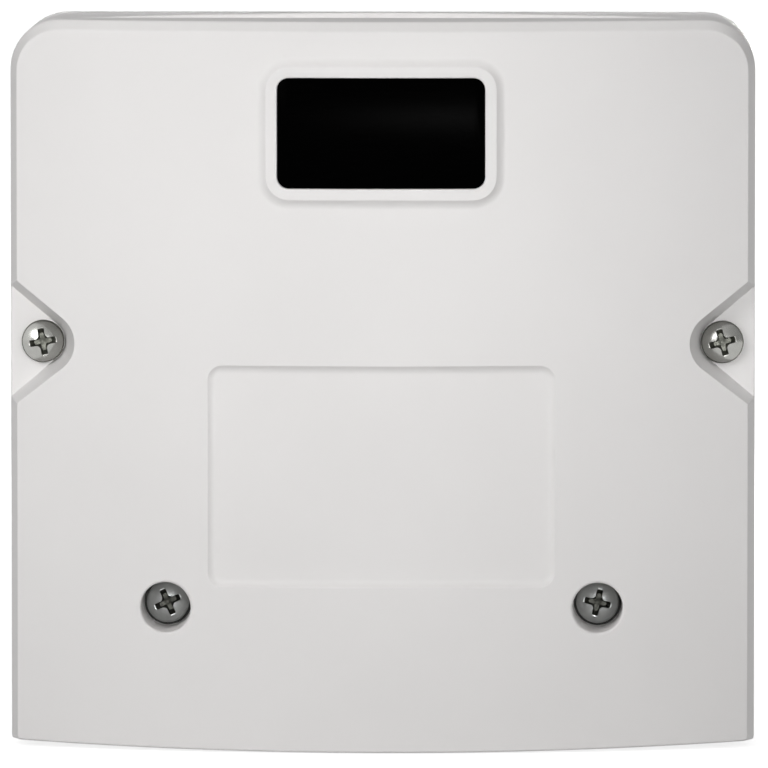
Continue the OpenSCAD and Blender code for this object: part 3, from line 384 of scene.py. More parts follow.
def row_of(name, bm, count, start, step, material):
    """A row of copies of a small shape, in millimetres, as one plain piece on the housing."""
    bmesh.ops.scale(bm, vec=(MM, MM, MM), verts=bm.verts)
    shape = bpy.data.meshes.new(name + "_shape")
    bm.to_mesh(shape)
    bm.free()
    pattern = bpy.data.objects.new(name + "_shape", shape)
    made = bpy.data.objects.new(name, bpy.data.meshes.new(name + "_line"))
    scene.collection.objects.link(pattern)
    scene.collection.objects.link(made)
    modifier = made.modifiers.new("row", "NODES")
    modifier.node_group = row_tree
    values = {"Count": count, "Start": [c * MM for c in start], "Step": [c * MM for c in step],
              "Piece": pattern, "Material": material}
    for socket in row_tree.interface.items_tree:
        if socket.name in values:
            modifier[socket.identifier] = values[socket.name]
    bpy.context.view_layer.update()
    mesh = bpy.data.meshes.new_from_object(made.evaluated_get(bpy.context.evaluated_depsgraph_get()))
    made.modifiers.clear()
    made.data = mesh
    bpy.data.objects.remove(pattern)
    smooth(mesh)
    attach(made, "housing")


def add_box(bm, low, high, radius):
    """A box with rounded edges between two corners."""
    made = bmesh.ops.create_cube(bm, size=1.0)["verts"]
    for v in made:
        v.co = [low[i] + (high[i] - low[i]) * (v.co[i] + 0.5) for i in range(3)]
    edges = {e for v in made for e in v.link_edges}
    bmesh.ops.bevel(bm, geom=list(edges), offset=radius, segments=2, profile=0.5, affect="EDGES")


BOARD_FACE, RESISTORS, RESISTOR_AT, RESISTOR_STEP = 10.6, 7, (-53.6, 0, 0), (0, 0, 5.0)
black_epoxy = moulded_plastic("black_epoxy", "#262729", "#1C1D1F", 0.5, 0.25, 0.008)
bm = bmesh.new()
add_box(bm, (-1.05, -BOARD_FACE - 0.6, -0.62), (1.05, -BOARD_FACE - 0.02, 0.62), 0.06)
row_of("chip_resistors", bm, RESISTORS, RESISTOR_AT, RESISTOR_STEP, black_epoxy)
for name, middle in (("resistor_ends_left", -1.1), ("resistor_ends_right", 1.1)):
    bm = bmesh.new()
    add_box(bm, (middle - 0.3, -BOARD_FACE - 0.64, -0.66), (middle + 0.3, -BOARD_FACE + 0.02, 0.66), 0.08)
    row_of(name, bm, RESISTORS, RESISTOR_AT, RESISTOR_STEP, zinc)


# Terminal blocks: green polyamide along the board's lower edge, five poles for mains, motor and
# lamp and eight for push button, photocell and accessories. A steel clamp sits in each wire entry.
green_nylon = moulded_plastic("green_polyamide", "#2F8A58", "#277A4C", 0.42)
softened("power_terminal_block", "power_terminals", [green_nylon], 0.25)
softened("signal_terminal_block", "signal_terminals", [green_nylon], 0.2)
softened("terminal_screws", "clamp_screws", [zinc], 0.12)


def clamp_frame(width, low, high):
    """A steel clamp for an entry of a width between two heights: a square frame with a jaw across it."""
    bm = bmesh.new()
    half, thick, deep = width / 2 - 0.05, 0.45, 2.6
    low, high = low + 0.06, high - 0.06
    add_box(bm, (-half, -high, 0.0), (half, -high + thick, deep), 0.1)
    add_box(bm, (-half, -low - thick, 0.0), (half, -low, deep), 0.1)
    for side in (-1, 1):
        edge = side * (half - thick / 2)
        add_box(bm, (edge - thick / 2, -high, 0.0), (edge + thick / 2, -low, deep), 0.1)
    add_box(bm, (-half + thick, -high + 0.84, 0.2), (half - thick, -high + 1.34, deep - 0.2), 0.12)
    return bm


row_of("power_clamps", clamp_frame(4.57, 12.6, 17.93), 5, (-50.19, 0, -31.0), (7.62, 0, 0), zinc)
row_of("signal_clamps", clamp_frame(3.05, 12.1, 16.1), 8, (10.54, 0, -31.4), (5.08, 0, 0), zinc)


# Transformer: a stack of half-millimetre steel sheets round a bobbin whose winding is wrapped in
# yellow polyester tape. It stands on the bobbin's two feet.
def layered(name, pale, deep, pitch_mm, axis, roughness, metallic=0.0, bump_mm=0.03):
    """Sheets, wraps or drawn lines: bands across one axis with a slightly uneven tone."""
    made, tree, place = new_material(name)
    bands = add_node(tree, "ShaderNodeTexWave", {
        "wave_type": "BANDS", "bands_direction": axis, "wave_profile": "SAW",
        "Scale": 1000 * math.pi / (10 * pitch_mm), "Distortion": 0.15, "Detail": 1.0}, {"Vector": place})
    clouds = add_node(tree, "ShaderNodeTexNoise", {"Scale": 1000 / 6.0, "Detail": 3.0}, {"Vector": place})
    mixed = add_node(tree, "ShaderNodeMath", {"operation": "MULTIPLY"},
                     {0: bands.outputs["Fac"], 1: clouds.outputs["Fac"]})
    tint = add_node(tree, "ShaderNodeMix", {"data_type": "RGBA", 6: srgb(deep), 7: srgb(pale)},
                    {"Factor": mixed.outputs[0]})
    bump = add_node(tree, "ShaderNodeBump", {"Strength": 1.0, "Distance": bump_mm * MM},
                    {"Height": bands.outputs["Fac"]})
    skin = add_node(tree, "ShaderNodeBsdfPrincipled", {"Metallic": metallic, "Roughness": roughness},
                    {"Base Color": tint.outputs[2], "Normal": bump.outputs[0]})
    add_node(tree, "ShaderNodeOutputMaterial", None, {"Surface": skin.outputs[0]})
    return made


sheets = layered("varnished_core_sheets", "#8C8F92", "#44474A", 0.5, "Z", 0.42, 0.8, 0.05)
tape = layered("yellow_polyester_tape", "#E3BE4B", "#C99D2E", 5.0, "Z", 0.3, 0.0, 0.05)
softened("transformer_core", "core_stack", [sheets], 0.15)
softened("transformer_bobbin", "wound_bobbin", [tape], 0.5)


# Relays: three sealed relays, one to open, one to close and one for the lamp, soldered to the board.
# Their moulded polyester cases are a clear mid blue with a slight gloss.
blue_case = moulded_plastic("blue_relay_case", "#2A5FA6", "#235292", 0.34)
for node in ("relay_open", "relay_close", "relay_lamp"):
    softened(node, node + "_case", [blue_case], 0.35)


# Fuse: a tube of clear drawn glass between two bright nickel caps, held by sprung clips on a dark
# moulded foot. A thin wire runs through the glass.
def clear_glass(name):
    """Clear drawn glass with slight streaks."""
    made, tree, place = new_material(name)
    streaks = add_node(tree, "ShaderNodeTexNoise", {"Scale": 1000 / 3.0, "Detail": 2.0}, {"Vector": place})
    sheen = add_node(tree, "ShaderNodeMapRange", {"To Min": 0.02, "To Max": 0.08}, {"Value": streaks.outputs["Fac"]})
    skin = add_node(tree, "ShaderNodeBsdfPrincipled",
                    {"Base Color": srgb("#F2F6F4"), "IOR": 1.5, "Transmission Weight": 0.9},
                    {"Roughness": sheen.outputs[0]})
    add_node(tree, "ShaderNodeOutputMaterial", None, {"Surface": skin.outputs[0]})
    return made


def rod(profile, x, y, z, count=32):
    """A turned shape along X from pairs of place and radius, closed at both ends."""
    bm = bmesh.new()
    add_walls(bm, [[(x + at, y + r * math.cos(2 * math.pi * i / count), z + r * math.sin(2 * math.pi * i / count))
                    for i in range(count)] for at, r in profile])
    bmesh.ops.holes_fill(bm, edges=[e for e in bm.edges if e.is_boundary], sides=0)
    bmesh.ops.recalc_face_normals(bm, faces=bm.faces)
    return bm


FUSE, CLIPS_FROM = (-37.0, -16.8, 41.0), 13.7
glass = clear_glass("fuse_glass_tube")
nickel = plated_steel("nickel_plated_brass", "#D2CFC6", "#BDB9AE", 0.2)
softened("fuse_holder", "fuse_clips", [black_epoxy, nickel], 0.12,
         pick=lambda at: 1 if at.y < -CLIPS_FROM else 0)
tube = rod([(-9.6, 2.2), (-9.5, 2.3), (9.5, 2.3), (9.6, 2.2)], *FUSE)
piece_from(tube, "fuse_tube", [glass], "housing", ["mains_fuse"])
for name, side in (("fuse_cap_left", -1), ("fuse_cap_right", 1)):
    cap = rod([(side * 4.9, 2.4), (side * 5.0, 2.58), (side * 9.8, 2.58), (side * 10.0, 2.3)], *FUSE)
    piece_from(cap, name, [nickel], "housing")
piece_from(rod([(-5.2, 0.12), (5.2, 0.12)], *FUSE, count=8), "fuse_wire", [nickel], "housing")


# Mains filter and rectifier: a varistor dipped in blue epoxy, glossy and slightly lumpy, on two legs,
# a film capacitor cast in a satin yellow box and a bridge rectifier in matt black epoxy.
LEGS_TO = 11.3
blue_dip = moulded_plastic("blue_dipped_epoxy", "#2E63B8", "#244F98", 0.28, 1.2, 0.03)
yellow_box = moulded_plastic("yellow_capacitor_box", "#D9BC3F", "#CBAE34", 0.38)
softened("varistor", "varistor_disc", [blue_dip, zinc], 0.6,
         pick=lambda at: 1 if at.y > -LEGS_TO else 0)
softened("suppression_capacitor", "film_capacitor", [yellow_box], 0.6)
softened("rectifier", "bridge_rectifier", [black_epoxy], 0.25)


# Electrolytic capacitors: aluminium cans in a dark, glossy shrink sleeve, soldered upright. The sleeve
# leaves the bare lid free on top, where the metal shows fine turned lines.
LARGE_LID, SMALL_LID = 35.55, 21.55
sleeve = moulded_plastic("dark_shrink_sleeve", "#23293D", "#1B2031", 0.3)
lid = layered("turned_aluminium_lid", "#C9CACB", "#A9AAAC", 0.3, "DIAGONAL", 0.35, 1.0, 0.004)
softened("filter_capacitor", "filter_can", [sleeve, lid], 0.5,
         pick=lambda at: 1 if at.y < -LARGE_LID else 0)
softened("small_capacitors", "small_cans", [sleeve, lid], 0.3,
         pick=lambda at: 1 if at.y < -SMALL_LID else 0)


# Heat sink and triac: an aluminium plate with five fins, with the fine drawn lines that extruding
# leaves, and the switch for the lamp in matt black epoxy, screwed flat against it.
extruded = layered("extruded_aluminium", "#C4C6C8", "#9EA1A4", 0.25, "X", 0.4, 1.0, 0.006)
softened("heat_sink", "finned_sink", [extruded], 0.2)
softened("power_triac", "lamp_triac", [black_epoxy], 0.25)


# Microcontroller: a chip moulded in matt black epoxy, pressed into a socket on the board. Its tinned
# legs run down both sides as two bright rows; they repeat, so the node tree sets them out.
softened("ic_socket", "chip_socket", [black_epoxy], 0.15)
softened("microcontroller", "controller_chip", [black_epoxy], 0.25)
LEG_TOP, LEG_FOOT, LEG_REACH, LEG_ROOT, LEG_THICK = 16.75, 14.75, 4.05, 3.45, 0.25
for name, side in (("chip_legs_low", -1), ("chip_legs_high", 1)):
    bm = bmesh.new()
    foot, inner, knee = side * LEG_REACH, side * (LEG_REACH - LEG_THICK), side * LEG_ROOT
    add_box(bm, (-0.6, -LEG_TOP, min(foot, knee)), (0.6, -LEG_TOP + 0.3, max(foot, knee)), 0.08)
    add_box(bm, (-0.6, -LEG_TOP, min(foot, inner)), (0.6, -LEG_FOOT, max(foot, inner)), 0.08)
    row_of(name, bm, 14, (5.49, 0, 12.0), (2.54, 0, 0), zinc)


# Crystal, radio receiver and limit connector: bright drawn steel cases, a small green board on pins,
# and an open connector moulded in satin ivory polyamide, with five tinned pins.
PINS_X, PINS_Z, PINS_FROM = 54, 12, 13.65
ivory = moulded_plastic("ivory_polyamide", "#E8E2D2", "#DDD6C4", 0.45)
softened("crystal", "crystal_case", [zinc], 0.3)
softened("receiver_board", "radio_board", [laminate], 0.08)
softened("receiver_can", "radio_can", [zinc], 0.3)
softened("limit_connector", "limit_header", [ivory, zinc], 0.08,
         pick=lambda at: 1 if abs(at.x - PINS_X) < 0.36 and at.y < -PINS_FROM and abs(at.z - PINS_Z) < 6 else 0)


# Status lamps: three lamps cast in tinted epoxy, one beside each relay, in red, green and amber. The
# epoxy is glossy and lets some light in, so they look deeper than paint.
def lamp_epoxy(name, pale, deep):
    """Tinted, slightly cloudy epoxy that lets some light through."""
    made, tree, place = new_material(name)
    clouds = add_node(tree, "ShaderNodeTexNoise", {"Scale": 1000 / 1.5, "Detail": 2.0}, {"Vector": place})
    tint = add_node(tree, "ShaderNodeMix", {"data_type": "RGBA", 6: srgb(deep), 7: srgb(pale)},
                    {"Factor": clouds.outputs["Fac"]})
    skin = add_node(tree, "ShaderNodeBsdfPrincipled", {"Roughness": 0.12, "IOR": 1.52, "Transmission Weight": 0.35},
                    {"Base Color": tint.outputs[2]})
    add_node(tree, "ShaderNodeOutputMaterial", None, {"Surface": skin.outputs[0]})
    return made


lamps = [lamp_epoxy("red_lamp_epoxy", "#D8352C", "#B8241E"), lamp_epoxy("green_lamp_epoxy", "#3FA64B", "#2F8A3C"),
         lamp_epoxy("amber_lamp_epoxy", "#E09A2B", "#C9801A")]
softened("status_lamps", "status_lights", lamps, 0.1,
         pick=lambda at: 0 if at.x < 10 else 1 if at.x < 27 else 2)


# Settings: a satin red block of four slide switches with ivory sliders, and two blue trimmers with
# slotted ivory rotors, all moulded and soldered to the board. Sliders and rotors move.
red_block = moulded_plastic("red_switch_body", "#B52A2C", "#A32325", 0.42)
blue_block = moulded_plastic("blue_trimmer_body", "#2F5DB0", "#274F9A", 0.4)
softened("dip_switch_body", "slide_switches", [red_block], 0.1)
softened("trimmer_bodies", "trimmer_cases", [blue_block], 0.2)
for i in (1, 2, 3, 4):
    softened("dip_slider_%d" % i, "switch_slider_%d" % i, [ivory], 0.12, "slider_%d" % i)
softened("trimmer_force", "force_rotor", [ivory], 0.15, "force_trimmer")
softened("trimmer_pause", "pause_rotor", [ivory], 0.15, "pause_trimmer")


# Display board: a second green board, on four nylon spacers and a pin header. It carries the display,
# whose grey moulded case has a matt black face, and three setting buttons under the cover.
HEADER_PINS, DISPLAY_FACE = (19.15, 29.3), 41.4
softened("display_spacers", "nylon_spacers", [ivory], 0.2)
softened("display_header", "pin_header", [black_epoxy, zinc], 0.08,
         pick=lambda at: 1 if HEADER_PINS[0] < -at.y < HEADER_PINS[1] else 0)
softened("display_board", "upper_board", [laminate], 0.1)
softened("spacer_screws", "spacer_fixings", [zinc], 0.15)
grey_case = moulded_plastic("grey_display_case", "#B9BABA", "#ABACAC", 0.45)
black_face = moulded_plastic("black_display_face", "#161617", "#101011", 0.55)
softened("display_module", "digit_module", [grey_case, black_face], 0.3,
         pick=lambda at: 1 if at.y < -DISPLAY_FACE else 0)


# Display digits: three unlit figures of seven bars each, cast into the face of the display in epoxy
# that is milky grey while it is dark. One figure is made and the node tree repeats it.
DIGIT_FACE, DIGIT_SLANT, DIGIT_STEP = 41.46, 0.12, 12.5


def digit_bars():
    """The seven slanted bars of one figure, raised a tenth of a millimetre."""
    bm = bmesh.new()
    half_w, half_h, thick, gap = 3.6, 6.4, 0.75, 1.1
    level = [(-half_w + gap, z, half_w - gap, z) for z in (-half_h, 0.0, half_h)]
    upright = [(x, z + gap, x, z + half_h - gap) for x in (-half_w, half_w) for z in (-half_h, 0.0)]
    for ax, az, bx, bz in level + upright:
        length = math.hypot(bx - ax, bz - az)
        ux, uz = (bx - ax) / length, (bz - az) / length
        tx, tz = ux * thick, uz * thick
        flat = [(ax - tx, az - tz), (ax + tz, az - tx), (bx + tz, bz - tx),
                (bx + tx, bz + tz), (bx - tz, bz + tx), (ax - tz, az + tx)]
        slant = [(x + DIGIT_SLANT * z, z) for x, z in flat]
        add_walls(bm, [[(x, -DIGIT_FACE - rise, z) for x, z in slant] for rise in (0.0, 0.1)])
    bmesh.ops.holes_fill(bm, edges=[e for e in bm.edges if e.is_boundary], sides=0)
    bmesh.ops.recalc_face_normals(bm, faces=bm.faces)
    return bm


milky = moulded_plastic("milky_segment_epoxy", "#8F8C86", "#807D77", 0.5)
row_of("display_digits", digit_bars(), 3, (-DIGIT_STEP, 0, 47.7), (DIGIT_STEP, 0, 0), milky)


# Setting buttons: three caps moulded in satin grey plastic, on stems that dip into dark bodies
# soldered to the display board. The caps move.
grey_cap = moulded_plastic("grey_button_cap", "#C8C9CA", "#BBBCBD", 0.45)
softened("button_bodies", "button_cases", [black_epoxy], 0.15)
for node, body in (("button_up", "up_button"), ("button_down", "down_button"), ("button_set", "set_button")):
    softened(node, node + "_cap", [grey_cap], 0.25, body)


# Front cover: one off-white ABS moulding and the piece that shows most. Its front bulges across
# the width; a steep bevel runs along the sides and the top; a raised rim frames the window, a
# shallow panel is sunk in the middle, and screws sit in two side notches and two round wells.
FOOT_R, WALL, BOW_R, BOW_MIDDLE = 2.0, 3.0, 194.96, -146.96
BEVEL_W, BEVEL_H, TOP_BEVEL_W, TOP_BEVEL_H, LEDGE = 1.3, 3.2, 1.9, 1.5, 31.6
SIDE_X, SIDE_Z, LOW_X, LOW_Z = 63.9, 7.75, 40.5, -41.5
NOTCH_R, NOTCH_SLOPE, NOTCH_ANGLE, NOTCH_WALL = 4.12, 0.28, math.radians(40), 2.2
NOTCH_BAND, BAND_TAPER, BAND_FROM = 2.1, 0.04, 57
WELL_R, WELL_SEAT, WELL_FLOOR, TUBE_R, TUBE_END, HOLE_R = 4.7, 30.0, 29.3, 6.7, 27.4, 2.35
WINDOW, WINDOW_Z, RIM_W, RIM_H, RIM_SKIRT = (38.9, 20.7, 2.2), 47.7, 2.15, 0.9, 1.75
PANEL, PANEL_Z, PANEL_D, PANEL_SLOPE = (65.0, 41.6, 2.7), -16.7, 0.8, 1.6
TONGUE, TONGUE_END, ROOT_END, RIM_RUN, PANEL_RUN = 20.0, 25.5, 29.05, 2.1, 2.2


def ramp(t, w):
    """The larger of t and 0, with the corner rounded over a width w."""
    return 0.0 if t < -w else t if t > w else (t + w) ** 2 / (4 * w)


def fillet(depth, r):
    """Drop of a rounded edge at a distance inside it."""
    e = max(0.0, r - max(depth, 0.0))
    return r - math.sqrt(max(0.0, r * r - e * e))


def rect_distance(x, z, size):
    """Distance outside a rectangle with round corners, negative inside it."""
    qx, qz = abs(x) - size[0] / 2 + size[2], abs(z) - size[1] / 2 + size[2]
    return min(max(qx, qz), 0.0) + math.hypot(max(qx, 0.0), max(qz, 0.0)) - size[2]


def edge_depth(x, z):
    """Distance inside the sides, the top and the bottom corners of the outline."""
    x = abs(x)
    if x > HALF_W - CORNER_R and z > TOP - CORNER_R:
        return CORNER_R - math.hypot(x - HALF_W + CORNER_R, z - TOP + CORNER_R)
    if x > HALF_W - FOOT_R and z < FOOT_R - TOP:
        return FOOT_R - math.hypot(x - HALF_W + FOOT_R, z - FOOT_R + TOP)
    return min(HALF_W - x, TOP - z)


def bevel_size(x, z):
    """Width and height of the bevel: steep along the sides, flatter along the top."""
    across, up = abs(x) - HALF_W + CORNER_R, z - TOP + CORNER_R
    t = 0.0 if up <= 0 else 1.0 if across <= 0 else up * up / (across * across + up * up)
    return BEVEL_W + (TOP_BEVEL_W - BEVEL_W) * t, BEVEL_H + (TOP_BEVEL_H - BEVEL_H) * t


def bow_rise(x, side_bevel=False):
    """Height of the bulged face above the notch ledges, with or without the side bevel cut off."""
    cut = BEVEL_H / BEVEL_W * max(0.0, BEVEL_W - HALF_W + abs(x)) if side_bevel else 0.0
    return max(0.0, BOW_MIDDLE + math.sqrt(BOW_R ** 2 - x * x) - LEDGE - cut)


def notch_steep(x):
    """Steepness of the notch wall: its width seen from the front stays nearly even."""
    return bow_rise(x) / (NOTCH_BAND - BAND_TAPER * max(0.0, abs(x) - BAND_FROM))


def notch_distance(x, z):
    """Distance from the line of a side screw's notch: round inward of the screw, widening outward."""
    dx, dz = abs(x) - SIDE_X, abs(z - SIDE_Z)
    if dx * math.cos(NOTCH_ANGLE) + dz * math.sin(NOTCH_ANGLE) > 0:
        return dz * math.cos(NOTCH_ANGLE) - dx * math.sin(NOTCH_ANGLE)
    return math.hypot(dx, dz)


def front_height(x, z):
    """Distance of the front surface from the wall."""
    depth, (bevel_w, bevel_h) = edge_depth(x, z), bevel_size(x, z)
    face = BOW_MIDDLE + math.sqrt(BOW_R ** 2 - x * x) - bevel_h / bevel_w * ramp(bevel_w - depth, 0.12)
    pane = rect_distance(x, z - WINDOW_Z, WINDOW)
    if pane < 5:
        out = 1 - min(1.0, ramp(pane - RIM_W, 0.1) / RIM_SKIRT)
        face += RIM_H * out ** RIM_RUN - fillet(pane, 0.3)
    panel = rect_distance(x, z - PANEL_Z, PANEL)
    if panel < 1:
        face -= PANEL_D * (1 - (1 - min(1.0, ramp(-panel, 0.1) / PANEL_SLOPE)) ** PANEL_RUN)
    away = notch_distance(x, z)
    if away < 9 and abs(x) > 50:
        face -= ramp(face - LEDGE - notch_steep(x) * ramp(away - NOTCH_R, 0.05), 0.12)
    well = math.hypot(abs(x) - LOW_X, z - LOW_Z) - WELL_R
    return face - fillet(depth, 0.25) - fillet(z - bottom_z(x), 0.45) - fillet(well, 0.5)


def back_height(x, z):
    """Distance of the cover's hollow inside from the wall."""
    face = BOW_MIDDLE + math.sqrt((BOW_R - WALL) ** 2 - x * x)
    away = notch_distance(x, z)
    if away < 11 and abs(x) > 50:
        face -= ramp(face - PARTING - ramp(away - NOTCH_R - NOTCH_WALL, 0.25) / NOTCH_SLOPE, 0.3)
    return face


def circle_ring(x, z, r, count):
    """Points round a circle, anticlockwise seen from the front."""
    turns = [2 * math.pi * i / count for i in range(count)]
    return [(x + r * math.cos(a), z + r * math.sin(a)) for a in turns]


def rect_ring(size, middle_z, grow, step, turns=8):
    """Points round a rectangle with round corners, grown by a distance."""
    w, h, r = size[0] / 2 + grow, size[1] / 2 + grow, max(0.05, size[2] + grow)
    made = []
    for k, (sx, sz) in enumerate(((1, 1), (-1, 1), (-1, -1), (1, -1))):
        for i in range(turns + 1):
            a = math.radians(90 * (k + i / turns))
            made.append((sx * (w - r) + r * math.cos(a), middle_z + sz * (h - r) + r * math.sin(a)))
    return spread(made, step)


def upper_line(inset, step, turns=12):
    """A line moved in from the outline, from the right foot over the top to the left foot."""
    foot = []
    for i in range(17):
        a = math.pi / 2 * i / 16
        x = HALF_W - FOOT_R + (FOOT_R - inset) * math.cos(a)
        z = FOOT_R - TOP - (FOOT_R - inset) * math.sin(a)
        if z > bottom_z(x) + 0.03:
            foot.append((x, z))
    foot.append((foot[-1][0] - 0.25, bottom_z(foot[-1][0] - 0.25)))
    made = list(reversed(foot))
    for i in range(turns + 1):
        a = math.pi / 2 * i / turns
        made.append((HALF_W - CORNER_R + (CORNER_R - inset) * math.cos(a),
                     TOP - CORNER_R + (CORNER_R - inset) * math.sin(a)))
    return spread(made + [(-x, z) for x, z in reversed(made)], step, closed=False)


def outline_ring(step):
    """The whole outline, anticlockwise seen from the front, with its bowed bottom."""
    made = upper_line(0.0, step)
    end = made[0][0]
    count = round(2 * end / 1.2)
    return made + [(x, bottom_z(x)) for x in (end * (2 * k / count - 1) for k in range(1, count))]


def notch_line(side, distance_at, reach):
    """A line round a notch from flank to flank, at a distance that may change with the place."""
    slant, made = NOTCH_ANGLE, []
    for sign in (1, -1):
        part = [(reach * (1 - k / 52), math.pi / 2 + slant) for k in range(53)]
        part += [(0.0, math.pi / 2 + slant + (math.pi / 2 - slant) * k / 8) for k in range(1, 9)]
        for along, turn in (part if sign > 0 else list(reversed(part))[1:]):
            foot = SIDE_X + along * math.cos(slant)
            x = foot
            for _ in range(12):
                d = distance_at(min(x, HALF_W))
                x = foot + d * math.cos(turn)
            made.append((side * x, SIDE_Z + sign * (along * math.sin(slant) + d * math.sin(turn))))
    return made


def surface(height, rim, holes, lines, step):
    """Triangles over the area inside a rim and outside holes, following the given lines."""
    points, edges = [], []
    for line, closed in [(rim, True)] + [(hole, True) for hole in holes] + lines:
        first = len(points)
        points += [Vector(p) for p in line]
        edges += [(first + i, first + i + 1) for i in range(len(line) - 1)]
        edges += [(first + len(line) - 1, first)] if closed else []
    low_x, high_x = min(p[0] for p in rim), max(p[0] for p in rim)
    low_z, high_z = min(p[1] for p in rim), max(p[1] for p in rim)
    columns, rows = int((high_x - low_x) / step), int((high_z - low_z) / step)
    for i in range(1, columns):
        for k in range(1, rows):
            points.append(Vector((low_x + i * step, low_z + k * step * (high_z - low_z) / (rows * step))))
    places, _, faces = delaunay_2d_cdt(points, edges, [], 0, 1e-4)[:3]

    def inside(x, z, ring):
        crossed = False
        for i in range(len(ring)):
            (ax, az), (bx, bz) = ring[i - 1], ring[i]
            if (az > z) != (bz > z) and x < (bx - ax) * (z - az) / (bz - az) + ax:
                crossed = not crossed
        return crossed

    kept = []
    for face in faces:
        x, z = (sum(places[i][c] for i in face) / 3 for c in (0, 1))
        if inside(x, z, rim) and not any(inside(x, z, hole) for hole in holes):
            kept.append(face)
    return [(p[0], -height(p[0], p[1]), p[1]) for p in places], kept


def add_faces(bm, places, faces):
    """Adds points and faces to a bmesh and returns the new faces."""
    used = sorted({i for face in faces for i in face})
    made = {i: bm.verts.new(places[i]) for i in used}
    return [bm.faces.new([made[i] for i in face]) for face in faces]


def notch_top(x):
    """How far from the notch line its wall reaches the front face."""
    return NOTCH_R + bow_rise(x, True) / notch_steep(x)


def notch_back(x):
    """How far from the notch line its wall reaches the skin on the cover's inside."""
    inside = BOW_MIDDLE + math.sqrt((BOW_R - WALL) ** 2 - min(abs(x), HALF_W) ** 2)
    return NOTCH_R + NOTCH_WALL + NOTCH_SLOPE * (inside - PARTING)


cover_edge, cover_inside = outline_ring(1.6), inner_ring(WALL, 2.5)
window_edge = rect_ring(WINDOW, WINDOW_Z, 0.0, 1.0)
well_mouths = [circle_ring(s * LOW_X, LOW_Z, WELL_R, 64) for s in (-1, 1)]
tube_edges = [circle_ring(s * LOW_X, LOW_Z, TUBE_R, 64) for s in (-1, 1)]
ledge_holes = [circle_ring(s * SIDE_X, SIDE_Z, HOLE_R, 48) for s in (-1, 1)]
front_lines = []
for inset in (0.05, 0.12, 0.25, 0.7, 1.18, 1.3, 1.42, 1.65, 1.9, 2.02, 2.8):
    front_lines.append((upper_line(inset, 1.6), False))
for rise in (0.04, 0.12, 0.25, 0.45, 1.1):
    front_lines.append(([(x, bottom_z(x) + rise) for x in (1.2 * k for k in range(-57, 58))], False))
for grow in (0.06, 0.15, 0.3, 1.0, 2.0, 2.05, 2.1, 2.15, 2.2, 2.25, 2.4, 2.6, 2.85, 3.1, 3.35, 3.6, 3.9, 4.4):
    front_lines.append((rect_ring(WINDOW, WINDOW_Z, grow, 1.0), True))
for grow in (0.5, 0.1, 0.05, 0.0, -0.05, -0.1, -0.25, -0.45, -0.7, -0.95, -1.2, -1.5, -2.1):
    front_lines.append((rect_ring(PANEL, PANEL_Z, grow, 1.2), True))
for side in (-1, 1):
    for grow in (0.05, 0.12, 0.25, 0.5, 1.0):
        front_lines.append((circle_ring(side * LOW_X, LOW_Z, WELL_R + grow, 64), True))
    for grow in (-0.8, -0.05, 0.0, 0.05, 0.4):
        front_lines.append((notch_line(side, lambda x: NOTCH_R + grow, 13.0), False))
    for grow in (-0.3, -0.04, 0.0, 0.04, 0.3, 0.8):
        front_lines.append((notch_line(side, lambda x: notch_top(x) + grow, 13.0), False))
back_lines = []
for side in (-1, 1):
    for grow in (-0.25, 0.0, 0.25):
        back_lines.append((notch_line(side, lambda x: NOTCH_R + NOTCH_WALL + grow, 9.5), False))
        back_lines.append((notch_line(side, lambda x: notch_back(x) + grow, 9.5), False))


def on_front(x, z):
    """Whether a point lies inside the outline of the front."""
    return edge_depth(x, z) > 0.02 and z > bottom_z(x) + 0.02


def on_back(x, z):
    """Whether a point lies between the cover's side walls."""
    return abs(x) < HALF_W - WALL - 0.05


front_lines = [(line if closed else [p for p in line if on_front(*p)], closed) for line, closed in front_lines]
back_lines = [([p for p in line if on_back(*p)], closed) for line, closed in back_lines]
bm = bmesh.new()
add_faces(bm, *surface(front_height, cover_edge, [window_edge] + well_mouths + ledge_holes, front_lines, 3.0))
rounded = shrunk(cover_edge, 0.25)
add_walls(bm, [lift(cover_edge, front_height), lift(cover_edge, PARTING + 0.25), lift(rounded, PARTING)])
add_faces(bm, *surface(lambda x, z: PARTING, rounded, [cover_inside], [], 200.0))
add_walls(bm, [lift(cover_inside, PARTING), lift(cover_inside, back_height)])
add_faces(bm, *surface(back_height, cover_inside, [window_edge] + tube_edges + ledge_holes, back_lines, 5.0))
add_walls(bm, [lift(window_edge, front_height), lift(window_edge, back_height)])
for side, mouth, tube in zip((-1, 1), well_mouths, tube_edges):
    foot = circle_ring(side * LOW_X, LOW_Z, WELL_R - 0.3, 64)
    hole = circle_ring(side * LOW_X, LOW_Z, HOLE_R, 64)
    end = circle_ring(side * LOW_X, LOW_Z, TUBE_R - 0.2, 64)
    add_walls(bm, [lift(mouth, front_height), lift(mouth, WELL_FLOOR + 0.3), lift(foot, WELL_FLOOR),
                   lift(hole, WELL_FLOOR), lift(hole, TUBE_END), lift(end, TUBE_END),
                   lift(tube, TUBE_END + 0.2), lift(tube, back_height)])
for hole in ledge_holes:
    add_walls(bm, [lift(hole, front_height), lift(hole, back_height)])
bmesh.ops.remove_doubles(bm, verts=bm.verts, dist=0.003)
bmesh.ops.dissolve_degenerate(bm, edges=bm.edges, dist=0.0005)
bmesh.ops.recalc_face_normals(bm, faces=bm.faces)
